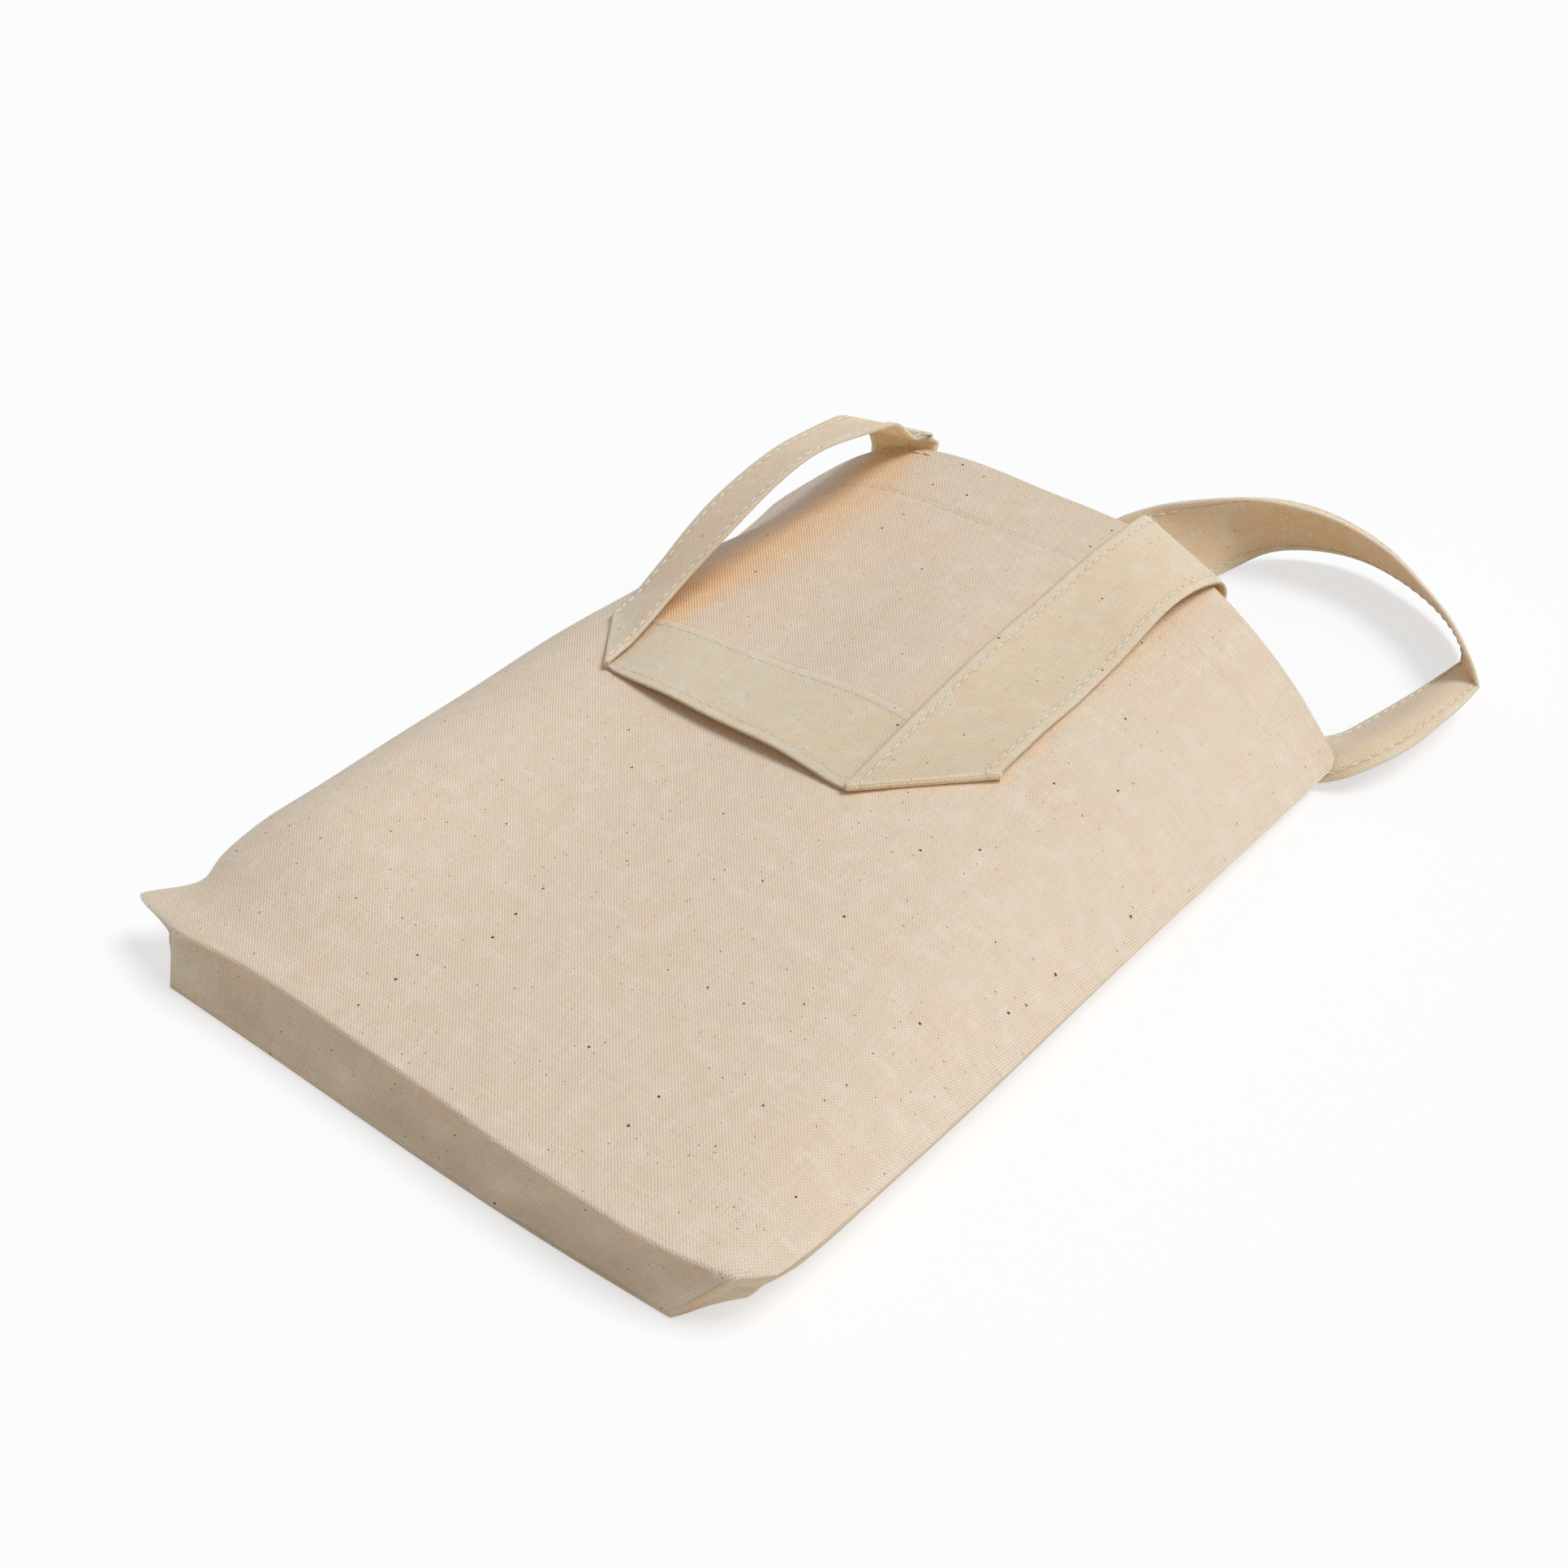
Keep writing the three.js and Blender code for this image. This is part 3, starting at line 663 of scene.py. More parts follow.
    def front(self, u: Array, d: Array) -> Array:
        """Points of the front panel.

        Args:
            u: From -1 at the left edge to 1 at the right edge.
            d: Distances from the bottom, of u's shape.

        Returns:
            The points.
        """
        v = d / self.length
        x = self.centre(v) + u * self.half_width(v)
        right = np.where(u > 0, np.abs(u) ** self.side_power, 0.0)
        left = np.where(u < 0, np.abs(u) ** self.side_power, 0.0)
        corner = np.where(u < 0, np.abs(u) ** self.ear_power, 0.0)
        x = x + right * (curve_through(self.right_places, self.right_fills, d) - self.right_edge(d))
        inset = self.fold_inset(x) * np.maximum(0.0, 1 - d / self.fold_depth) ** 2
        gape = ease((d - self.length + self.mouth_depth) / self.mouth_depth)
        y = self.bottom + d + inset - curve_through(self.mouth_places, self.mouth_insets, u) * gape
        z = self.height(self.centre(v) + u * self.half_width(v), self.bottom + d)
        ear = corner * self.ear(d)
        fill = left * curve_through(self.left_places, self.left_fills, d)
        x = x - ear - fill + corner * self.ear_tuck * np.maximum(0.0, 1 - d / self.tuck_depth) ** 2
        z = z + fill - self.ear_droop * ear / self.ear_reach
        roll = self.lip - np.sqrt(np.maximum(0.0, self.lip**2 - np.maximum(0.0, self.lip - d) ** 2))
        seam = np.exp(-(((d - (self.length - self.hem_line)) / self.seam_width) ** 2))
        hem = ease((d - (self.length - self.hem_line)) / self.hem_fade)
        z = z - roll + (self.hem_step * hem - self.seam_dip * seam) * (1 - np.abs(u) ** 8)
        return np.stack([x, y, z], axis=-1)

    def foot(self, side: Side, d: Array) -> Array:
        """The X places where a side meets the floor, at distances from the bottom."""
        v = d / self.length
        mouth = self.centre(1.0) + side.value * (self.half_width(1.0) - self.mouth_tuck)
        base = side.value * self.base_width / 2
        swell = curve_through(self.foot_places, self.foot_swells, d)
        share = 1.0 if side is Side.RIGHT else self.left_foot_share
        return base + (mouth - base) * v + side.value * swell * share


@dataclass
class BagBody:
    """The bag's cloth body as one shell: front, sides, back and the boxed bottom."""

    shape: BagShape
    tailor: Tailor
    columns: int = 96
    floor_gap: float = 0.0003
    overhang: float = 0.0024
    foot_bow: float = 0.0018
    crease_angle: float = math.radians(48)
    swell_fade: float = 0.06
    far_swell: float = 0.35
    corner_depth: float = 0.036
    corner_fade: float = 0.022
    ear_share: float = 0.14
    corner_reach: float = 0.009
    bottom_waves: tuple[Place, ...] = ((0.0012, 95.0, 0.8), (0.0009, 210.0, 2.1))
    lip_places: Numbers = (-0.11, -0.075, -0.02, 0.05, 0.09, 0.11)
    lip_depths: Numbers = (0.0042, 0.0044, 0.0048, 0.0052, 0.0046, 0.0036)
    side_shares: Numbers = (
        0.0, 0.03, 0.07, 0.12, 0.17, 0.23, 0.30, 0.38, 0.48, 0.58, 0.68, 0.78, 0.87, 0.95, 1.0,
    )

    def distances(self) -> Array:
        """The rows' distances from the bottom: close at the corners and at the hem's stitches."""
        hem = self.shape.length - self.shape.hem_line
        parts = [
            self.shape.lip * (1 - np.cos(np.linspace(0.0, math.pi / 2, 7))),
            np.linspace(0.0034, 0.030, 23),
            np.linspace(0.030, hem - 0.004, 64),
            np.linspace(hem - 0.004, hem + 0.004, 15),
            np.linspace(hem + 0.004, self.shape.length, 9),
        ]
        return np.unique(np.round(np.concatenate(parts), 6))

    def places(self) -> Array:
        """The columns' places from -1 to 1, closer at the edges."""
        s = np.linspace(-1.0, 1.0, self.columns + 1)
        return s * (1.42 - 0.42 * s * s)

    def front_patch(self) -> Patch:
        """The front panel's grid, from the bottom to the mouth and from left to right."""
        d, u = np.meshgrid(self.distances(), self.places(), indexing="ij")
        points = self.shape.front(u, d)
        return Patch(points, points[..., :2].copy())

    def side_patch(self, side: Side, top: Array) -> Patch:
        """A side's grid, from the front panel's edge down to the floor.

        Args:
            side: The side.
            top: The front panel's edge.

        Returns:
            The patch.
        """
        d = self.distances()
        t = np.array(self.side_shares)
        y = np.full_like(d, self.shape.bottom) + d
        foot = np.stack([self.shape.foot(side, d), y, np.full_like(d, self.floor_gap)], axis=-1)
        start = top.copy()
        ear = self.shape.ear(d) if side is Side.LEFT else np.zeros_like(d)
        start[:, 0] += ear
        points = start[:, None] + (foot - start)[:, None] * t[None, :, None]
        near = np.exp(-d / self.swell_fade)
        corner = ease((self.corner_depth - d) / self.corner_fade)[:, None]
        swell = self.shape.side_swell * (self.far_swell + (1 - self.far_swell) * near)
        swell = swell * (1 - (d / self.shape.length) ** 3) * ease(d / 0.006)
        held = 1 - 0.75 * corner * ease((t[None, :] - 0.4) / 0.25)
        bulge = swell[:, None] * np.sin(math.pi * t[None, :] ** 0.8) * held
        tucked = ease(d / 0.008)[:, None] if side is Side.RIGHT else 0.0
        under = self.overhang * tucked * corner * np.exp(-(((t[None, :] - 0.17) / 0.10) ** 2))
        points[..., 0] += side.value * (bulge - under)
        points[..., 0] -= ear[:, None] * np.maximum(0.0, 1 - t[None, :] / self.ear_share)
        if side is Side.RIGHT:
            points += self.corner_creases(d, t)
        drop = run_across(points)
        rows = np.broadcast_to(d[:, None], drop.shape) + self.shape.bottom
        cloth = np.stack([top[:, None, 0] + side.value * drop, rows], axis=-1)
        return Patch(points, cloth)

    def corner_creases(self, d: Array, t: Array) -> Array:
        """The creases that the boxed corner's seam pulls into the right side.

        Args:
            d: Distances from the bottom.
            t: Shares of the way down the side.

        Returns:
            Offsets for the side's grid.
        """
        dd, tt = np.meshgrid(d, t, indexing="ij")

        def crease(start: Numbers, end: Numbers, depth: float, width: float) -> Array:
            """A straight crease's depths, with its ends and half width as distances and shares."""
            run = np.clip((dd - start[0]) / (end[0] - start[0]), 0.0, 1.0)
            middle = start[1] + (end[1] - start[1]) * run
            ends = ease((dd - start[0]) / 0.002 + 0.6) * ease((end[0] - dd) / 0.006)
            return depth * np.exp(-(((tt - middle) / width) ** 2)) * ends

        inward = crease((0.003, 0.30), (0.024, 0.52), 0.0014, 0.09)
        inward = inward - crease((0.002, 0.60), (0.014, 0.62), 0.0008, 0.16)
        return np.stack([-inward, 0.5 * inward, -0.2 * inward], axis=-1)

    def bottom_patch(self, fold: Array, left: Array, right: Array) -> Patch:
        """The boxed bottom's face, from the front panel's fold down to the floor.

        Args:
            fold: The front panel's bottom row.
            left: The left side's first column.
            right: The right side's first column.

        Returns:
            The patch.
        """
        t = np.array(self.side_shares)
        u = self.places()
        share = (u + 1) / 2
        foot = left[-1] + (right[-1] - left[-1]) * share[:, None]
        foot[:, 1] -= self.foot_bow * np.sin(math.pi * share**1.6)
        points = fold[:, None] + (foot - fold)[:, None] * t[None, :, None]
        x = fold[:, 0]
        lip = curve_through(self.lip_places, self.lip_depths, x)
        hollow = ease(t / 0.12) * (1 - 0.75 * t) * (1 - ease((t - 0.8) / 0.2))
        ripple = sum(rise * np.sin(pace * x + phase) for rise, pace, phase in self.bottom_waves)
        points[..., 1] += lip[:, None] * hollow + ripple[:, None] * np.sin(math.pi * t)
        for end, column in ((0, left), (-1, right)):
            missing = column - points[end]
            fade = ease(1 - np.abs(x - x[end]) / self.corner_reach)
            points += fade[:, None, None] * missing[None]
        height = run_across(points)
        cloth = np.stack([np.broadcast_to(x[:, None], height.shape), self.shape.bottom - height], axis=-1)
        return Patch(points, cloth)

    def back_patch(self, left: Array, right: Array) -> Patch:
        """The back panel on the floor, between the two sides' feet."""
        share = ((self.places() + 1) / 2)[None, :, None]
        points = left[:, None] + (right - left)[:, None] * share
        bow = self.foot_bow * np.sin(math.pi * share[..., 0] ** 1.6)
        points[..., 1] -= bow * np.maximum(0.0, 1 - self.distances() / 0.04)[:, None]
        cloth = points[..., :2].copy()
        cloth[..., 0] += 1.0
        return Patch(points, cloth)

    def build(self) -> Piece:
        """Makes the shell and gives it its thickness and sharp creases.

        Returns:
            The shell.
        """
        front = self.front_patch()
        left = self.side_patch(Side.LEFT, front.points[:, 0])
        right = self.side_patch(Side.RIGHT, front.points[:, -1])
        left.points[:, 0] = front.points[:, 0]
        right.points[:, 0] = front.points[:, -1]
        bottom = self.bottom_patch(front.points[0], left.points[0], right.points[0])
        back = self.back_patch(left.points[:, -1], right.points[:, -1])
        shell = self.tailor.mesh_from("bag_shell", [front, left, right, bottom, back], self.tailor.canvas)
        self.tailor.thicken(shell, self.shape.cloth * 0.9)
        shell.data.set_sharp_from_angle(angle=self.crease_angle)
        ride_mouth(shell)
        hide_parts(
            "back_panel", "bottom_panel", "left_side_panel", "right_side_panel", "front_panel"
        )
        return shell


def ride_mouth(piece: Piece) -> None:
    """Bakes a piece's placement into its mesh."""
    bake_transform(piece)


@dataclass
class StitchRow:
    """A row of lockstitches along a path on a face of the cloth."""

    tailor: Tailor
    pitch: float = 0.0039
    stitch: float = 0.0030
    radius: float = 0.00030
    under_share: float = 0.55
    sides: int = 6
    flatness: float = 0.8
    hole_share: float = 0.5
    hole_lift: float = 0.00004
    uneven: float = 0.0001
    slant: float = 0.00012
    stations: Numbers = (0.0, 0.12, 0.5, 0.88, 1.0)
    sizes: Numbers = (0.25, 0.8, 1.0, 0.8, 0.25)
    lifts: Numbers = (-0.7, 0.25, 0.6, 0.25, -0.7)
    leans: Numbers = (-1.0, -0.7, 0.0, 0.7, 1.0)

    def stitches(
        self, path: Array, normals: Array, seed: int, radius: float
    ) -> tuple[list[Patch], list[Patch]]:
        """The stitches on a path, and the needle holes between them.

        Args:
            path: Points on the cloth's face.
            normals: The face's directions there.
            seed: Fixes the small unevenness.
            radius: The thread's radius.

        Returns:
            The stitches' patches, and the holes' patches.
        """
        chance = np.random.default_rng(seed)
        reach = run_along(path)
        count = max(1, int(reach[-1] / self.pitch))
        rounds = np.linspace(0, 2 * math.pi, self.sides + 1)
        stitches, holes = [], []
        for k in range(count):
            middle = (k + 0.5) * reach[-1] / count
            start = middle - self.stitch / 2 + chance.uniform(-self.uneven, self.uneven)
            at = np.clip(start + self.stitch * np.array(self.stations), 0, reach[-1])
            centre = np.stack([np.interp(at, reach, path[:, i]) for i in range(3)], axis=-1)
            face = np.stack([np.interp(at, reach, normals[:, i]) for i in range(3)], axis=-1)
            face /= np.linalg.norm(face, axis=-1, keepdims=True)
            along = centre[-1] - centre[0]
            along /= np.linalg.norm(along)
            beside = np.cross(face, along)
            size = radius * np.array(self.sizes)
            lift = radius * np.array(self.lifts)
            lean = chance.uniform(-self.slant, self.slant) * np.array(self.leans)
            centre = centre + face * lift[:, None] + beside * lean[:, None]
            ring = (
                centre[:, None]
                + beside[:, None] * (size[:, None] * np.cos(rounds))[..., None]
                + face[:, None] * (self.flatness * size[:, None] * np.sin(rounds))[..., None]
            )
            cloth = np.stack(np.meshgrid(at, rounds * radius, indexing="ij"), axis=-1)
            stitches.append(Patch(ring, cloth))
            spot = centre[0] - along * (self.pitch - self.stitch) / 2 - face[0] * (lift[0] - self.hole_lift)
            disc = radius * self.hole_share * np.array([0.02, 1.0])
            flat = (
                spot
                + beside[0] * (disc[:, None] * np.cos(rounds))[..., None]
                + along * (disc[:, None] * np.sin(rounds))[..., None]
            )
            holes.append(Patch(flat, np.zeros((2, len(rounds), 2))))
        return stitches, holes

    def build(self, name: str, rows: Sequence[tuple[Array, Array]], seed: int) -> Piece:
        """Makes one piece of several rows of stitches.

        Args:
            name: The piece's name.
            rows: Each row's path and face directions, with the seam's flatter underside after the first.
            seed: Fixes the small unevenness.

        Returns:
            The piece.
        """
        stitches, holes = [], []
        for k, (path, normals) in enumerate(rows):
            radius = self.radius * (self.under_share if k else 1.0)
            made, pricks = self.stitches(path, normals, seed + k, radius)
            stitches += made
            holes += pricks
        piece = self.tailor.mesh_from(name, stitches, self.tailor.thread, merge=1e-7)
        pricked = self.tailor.mesh_from(name + "_holes", holes, self.tailor.hole, merge=1e-7)
        joined = bmesh.new()
        joined.from_mesh(piece.data)
        first = len(joined.faces)
        joined.from_mesh(pricked.data)
        joined.faces.ensure_lookup_table()
        for face in joined.faces[first:]:
            face.material_index = 1
        joined.to_mesh(piece.data)
        joined.free()
        piece.data.materials.append(self.tailor.hole)
        old = pricked.data
        bpy.data.objects.remove(pricked)
        bpy.data.meshes.remove(old)
        return piece

    def level(self, name: str, path: Array, seed: int) -> Piece:
        """Makes a piece of one row of stitches on a face that looks up."""
        return self.build(name, [(path, np.tile((0.0, 0.0, 1.0), (len(path), 1)))], seed)


@dataclass
class Edges:
    """A strap's two edges, and how far it bows out of the flat between them, line by line."""

    first: Array
    second: Array
    bows: Array


@dataclass(frozen=True)
class StrapRoute:
    """A strap's way as crossing lines in millimetres: a point on each edge, and the bow between them."""

    first: tuple[Place, ...]
    second: tuple[Place, ...]
    bows: Numbers
    creases: tuple[int, ...] = ()
    steps: int = 6

    def edges(self) -> Edges:
        """Smooth edges through the lines' ends, broken at the creases, in metres.

        Returns:
            The edges, with their bows.
        """
        lines = 0.001 * np.concatenate([self.first, self.second, np.array(self.bows)[:, None]], axis=1)
        stops = [0, *self.creases, len(lines) - 1]
        runs = []
        for start, end in zip(stops, stops[1:]):
            part = lines[start : end + 1]
            moves = np.diff(part, axis=0)
            spans = (np.linalg.norm(moves[:, :3], axis=-1) + np.linalg.norm(moves[:, 3:6], axis=-1)) / 2
            place = np.concatenate([[0.0], np.cumsum(spans)])
            count = len(part) - 1
            at = np.interp(np.linspace(0, count, count * self.steps + 1), np.arange(count + 1), place)
            runs.append(curve_through(place, part, at)[0 if start == 0 else 1 :])
        whole = np.concatenate(runs)
        return Edges(whole[:, :3], whole[:, 3:6], whole[:, 6])


@dataclass
class Ribbon:
    """A flat sewn strap on crossing lines, with folded edges and a groove under each row of stitches."""

    thickness: float = 0.0012
    inset: float = 0.1
    groove_depth: float = 0.14
    groove_width: float = 0.018
    edge_width: float = 0.03
    edge_tuck: float = 0.016
    shares: Numbers = (
        0.0, 0.012, 0.04, 0.075, 0.1, 0.125, 0.16, 0.25, 0.375, 0.5, 0.625, 0.75, 0.84, 0.875, 0.9,
        0.925, 0.96, 0.988, 1.0,
    )

    def half(self, t: Array) -> Array:
        """Half the strap's thickness across its width, as shares from 0 to 1."""
        edge = np.minimum(t, 1 - t)
        round_off = 0.6 + 0.4 * ease(edge / self.edge_width)
        groove = self.groove_depth * np.exp(-(((edge - self.inset) / self.groove_width) ** 2))
        crown = 0.10 * np.sin(math.pi * t) ** 0.5
        return self.thickness / 2 * (round_off - groove + crown - 0.05)

    @staticmethod
    def middle(edges: Edges, t: Array) -> tuple[Array, Array]:
        """The strap's middle face: its points and its directions, at places from 0 to 1 across."""
        flat = edges.first[:, None] + (edges.second - edges.first)[:, None] * t[None, :, None]
        rise = edges.bows[:, None] * np.sin(math.pi * np.clip(t, 0, 1) ** 1.8)
        bowed = flat + grid_normals(flat) * rise[..., None]
        return bowed, grid_normals(bowed)

    def patches(self, edges: Edges) -> list[Patch]:
        """The strap's cloth all round.

        Args:
            edges: The strap's edges.

        Returns:
            The patches of its two faces, its edges and its ends.
        """
        t = np.array(self.shares)
        points, normal = self.middle(edges, t)
        half = self.half(t)[None, :, None]
        along = run_along(points[:, len(t) // 2])
        across = edges.second - edges.first
        width = np.linalg.norm(across, axis=-1).mean()
        cloth = np.stack(np.meshgrid(along, t * width, indexing="ij")[::-1], axis=-1)
        upper, lower = points + normal * half, points - normal * half
        under = cloth.copy()
        under[..., 0] += 0.5
        made = [Patch(upper, cloth), Patch(lower, under)]
        middle = points.copy()
        for end, inward in ((0, 1), (-1, -1)):
            middle[:, end] += inward * across * self.edge_tuck
        layers = np.stack([upper, middle, lower], axis=0)
        step = np.array([0.0, 0.0008, 0.0016])
        for end in (0, -1):
            turned = np.stack([cloth[:, end] + (deep, 0.0) for deep in step], axis=1)
            made.append(Patch(layers[:, :, end].transpose(1, 0, 2), turned))
            capped = np.stack([cloth[end] + (0.0, deep) for deep in step], axis=0)
            made.append(Patch(layers[:, end], capped))
        return made

    def row(self, edges: Edges, share: float, face: int) -> tuple[Array, Array]:
        """A path for stitches on one face of the strap.

        Args:
            edges: The strap's edges.
            share: The place across the strap.
            face: 1 for the upper face, -1 for the lower.

        Returns:
            The path and the face's directions.
        """
        points, normals = self.middle(edges, np.array([share - 0.02, share, share + 0.02]))
        normal = face * normals[:, 1]
        return points[:, 1] + normal * self.half(np.array([share]))[0], normal


@dataclass
class Handle:
    """What both handles share: a strap sewn along its edges, with tacks that hold its ends."""

    shape: BagShape
    tailor: Tailor
    ribbon: Ribbon = field(default_factory=Ribbon)
    tack_reach: float = 0.013
    tack_inset: float = 0.003
    tack_points: int = 16

    def strap(self, name: str, edges: Edges) -> Piece:
        """Makes a strap's cloth between its edges."""
        piece = self.tailor.mesh_from(name, self.ribbon.patches(edges), self.tailor.strap)
        return piece

    def seam(self, name: str, edges: Edges, share: float, faces: tuple[int, int], seed: int) -> Piece:
        """Makes a seam along a strap, with its upper stitches on the first of two faces."""
        rows = [self.ribbon.row(edges, share, face) for face in faces]
        return StitchRow(self.tailor).build(name, rows, seed)

    def tack_line(self, root: float) -> tuple[Array, Array]:
        """The X and Y places of the stitches that hold a strap's end just inside the mouth."""
        x = np.linspace(root - self.tack_reach, root + self.tack_reach, self.tack_points)
        return x, np.full_like(x, self.shape.mouth - self.tack_inset)


@dataclass
class FrontHandle(Handle):
    """The front strap: out of the mouth, back over the panel, and across between two slanting folds."""

    width: float = 0.030
    root_left: float = -0.060
    root_right: float = 0.041
    sewn: float = 0.022
    sewn_depth: float = 0.0037
    tack_lift: float = 0.0005
    lie: float = 0.0011
    cross_lift: float = 0.0027
    cross_sag: float = 0.0018
    fold_radius: float = 0.0008
    settle_reach: float = 0.030
    cross_steps: int = 44
    fold_steps: int = 9
    right_leg: StrapRoute = StrapRoute(
        first=(
            (26.8, 140.2, 47.8), (27, 143.3, 49.5), (27, 144.8, 52.0), (27, 143.8, 54.6),
            (27.1, 141, 56.3), (27.4, 136, 57.3), (28.3, 127.6, 58.3), (29.2, 113.6, 59.5),
            (29.4, 94.3, 58.2), (29.5, 73.2, 56.6), (29.4, 55.3, 54.8), (29.4, 36.8, 51.8),
            (29.4, 17.2, 48.1), (29, -0.4, 44),
        ),
        second=(
            (56.8, 139.6, 36.4), (57, 142.2, 38.0), (57, 143.2, 40.3), (56.7, 142.6, 43),
            (56.5, 140.8, 45.3), (56.3, 137, 47.4), (56.1, 131, 49.4), (56, 118, 51.4),
            (56.2, 103, 50), (56.3, 88, 46.7), (56.4, 72, 44.6), (56.6, 57, 43.2), (56.8, 44, 41.8),
            (57.1, 32.4, 40.5),
        ),
        bows=(0, 0, 0, 0, 0, -0.3, -0.6, -0.9, -0.9, -0.7, -0.6, -0.4, -0.2, 0),
    )
    left_leg: StrapRoute = StrapRoute(
        first=(
            (-46.5, 140.2, 44.0), (-47, 142.3, 46.2), (-48, 140.7, 48.1), (-48.5, 142.4, 50.0),
            (-49.3, 141.1, 51.8), (-50, 141.2, 53.4), (-51.2, 139.4, 52.3), (-53, 137, 52.8),
            (-54.3, 134, 56.3), (-54, 130, 60.5), (-53, 125, 63.5), (-53.5, 115, 65.6),
            (-56, 100, 67.4), (-58, 85, 66), (-60, 70, 60.5), (-62, 55, 53.2), (-64.5, 40, 44.8),
            (-63.5, 22, 39.3), (-61.3, 5.1, 36.5),
        ),
        second=(
            (-74, 140.2, 34.4), (-74, 141.9, 38), (-74.2, 141.9, 41.5), (-74.8, 140.4, 45.5),
            (-76, 136.6, 50), (-77.9, 131, 53.9), (-78.3, 129, 54.3), (-78.5, 127, 54.5),
            (-78.6, 125.5, 54.6), (-78.8, 124, 54.7), (-79, 121, 54.9), (-80, 113, 55),
            (-81, 100, 54.6), (-83.5, 85, 50), (-85, 70, 44), (-86, 55, 35.6), (-86.8, 43, 29),
            (-86, 38, 27), (-84, 33.5, 26.6),
        ),
        bows=(0, 0, 0, 0, 0, 0, 0, 0, -0.3, -0.5, -0.8, -1, -1, -1, -0.9, -0.8, -0.6, -0.3, 0),
        creases=(5,),
    )

    def leg(self, side: Side) -> Edges:
        """A leg's edges, kept clear of the front panel.

        Args:
            side: Which leg.

        Returns:
            The inner and the outer edge, from the sewn end to the fold.
        """
        edges = (self.right_leg if side is Side.RIGHT else self.left_leg).edges()
        for edge in (edges.first, edges.second):
            left = run_along(edge[::-1])[::-1]
            lift = self.lie + (2 * self.fold_radius + 0.0002) * ease(1.6 - left / self.settle_reach)
            over = ease((self.shape.mouth - 0.002 - edge[:, 1]) / 0.004)
            missing = self.shape.height(edge[:, 0], edge[:, 1]) + lift - edge[:, 2]
            edge[:, 2] += over * np.maximum(0.0, missing)
        return edges

    def turn(self, edge: Array, away: Array) -> Array:
        """The half turn of a leg's edge at a slanting fold that faces away, down to the cross-piece."""
        angle = np.linspace(0, math.pi, self.fold_steps + 1)[1:]
        shift = away * (self.fold_radius * np.sin(angle))[:, None]
        shift[:, 2] = self.fold_radius * (np.cos(angle) - 1)
        return edge[-1] + shift

    def edges(self) -> Edges:
        """The whole strap's edges, from the right root over the cross-piece to the left root.

        Returns:
            The inner and the outer edge.
        """
        right, left = self.leg(Side.RIGHT), self.leg(Side.LEFT)
        facing = []
        for side, leg in ((Side.RIGHT, right), (Side.LEFT, left)):
            line = leg.second[-1] - leg.first[-1]
            facing.append(side.value * np.array([line[1], -line[0], 0.0]) / math.hypot(line[0], line[1]))
        joined = []
        for down, up, lift, sag in (
            (right.first, left.first, self.cross_lift, self.cross_sag),
            (right.second, left.second, 0.0, 0.0),
        ):
            fold_right, fold_left = self.turn(down, facing[0]), self.turn(up, facing[1])
            share = np.linspace(0, 1, self.cross_steps + 1)[1:-1, None]
            start, end = fold_right[-1], fold_left[-1]
            cross = start + (end - start) * share
            cross[:, 1] -= sag * np.sin(math.pi * share[:, 0]) ** 0.5
            settle = self.shape.height(cross[:, 0], cross[:, 1]) + self.lie + lift
            away = np.minimum(np.abs(cross[:, 0] - start[0]), np.abs(cross[:, 0] - end[0]))
            near = np.where(share[:, 0] < 0.5, start[2] - settle[0], end[2] - settle[-1])
            cross[:, 2] = settle + near * ease(1 - away / self.settle_reach)
            joined.append(np.concatenate([down, fold_right, cross, fold_left[::-1], up[::-1]]))
        flat = np.zeros(len(joined[0]) - len(right.bows) - len(left.bows))
        return Edges(*joined, np.concatenate([right.bows, flat, -left.bows[::-1]]))

    def build(self) -> list[Piece]:
        """Makes the strap, its stitches, and its sewn ends.

        Returns:
            The pieces.
        """
        edges = self.edges()
        strap = self.strap("front_handle_strap", edges)
        self.ride(strap)
        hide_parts("front_strap", "front_left_root_bend", "front_right_root_bend")
        pieces = [strap]
        for label, share, seed, nodes in (
            ("inner", self.ribbon.inset, 11, ("right_inner", "left_inner", "lower")),
            ("outer", 1 - self.ribbon.inset, 23, ("right_outer", "left_outer", "upper")),
        ):
            row = self.seam(f"front_handle_{label}_stitches", edges, share, (-1, 1), seed)
            self.ride(row)
            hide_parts(*(f"front_strap_{node}_stitching" for node in nodes))
            pieces.append(row)
        return pieces + self.sewn_ends()

    def ride(self, piece: Piece) -> None:
        """Bakes a piece's placement into its mesh."""
        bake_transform(piece)

    def sewn_ends(self) -> list[Piece]:
        """The strap's ends inside the hem, with the stitches that hold them.

        Returns:
            The pieces.
        """
        pieces = []
        for side, root in ((Side.LEFT, self.root_left), (Side.RIGHT, self.root_right)):
            label = side.name.lower()
            y = np.linspace(self.shape.mouth - self.sewn, self.shape.mouth + 0.0004, 14)
            edges = []
            for across in (-1, 1):
                x = np.full_like(y, root + across * self.width / 2)
                edges.append(np.stack([x, y, self.shape.height(x, y) - self.sewn_depth], axis=-1))
            end = self.strap(f"front_{label}_sewn_end", Edges(*edges, np.zeros_like(y)))
            ride_mouth(end)
            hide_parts(f"front_{label}_strap_end")
            x, y = self.tack_line(root)
            path = np.stack([x, y, self.shape.height(x, y) + self.tack_lift], axis=-1)
            tack = StitchRow(self.tailor).level(f"front_{label}_tack_stitches", path, 41)
            ride_mouth(tack)
            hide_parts(f"front_{label}_tack")
            pieces += [end, tack]
        return pieces


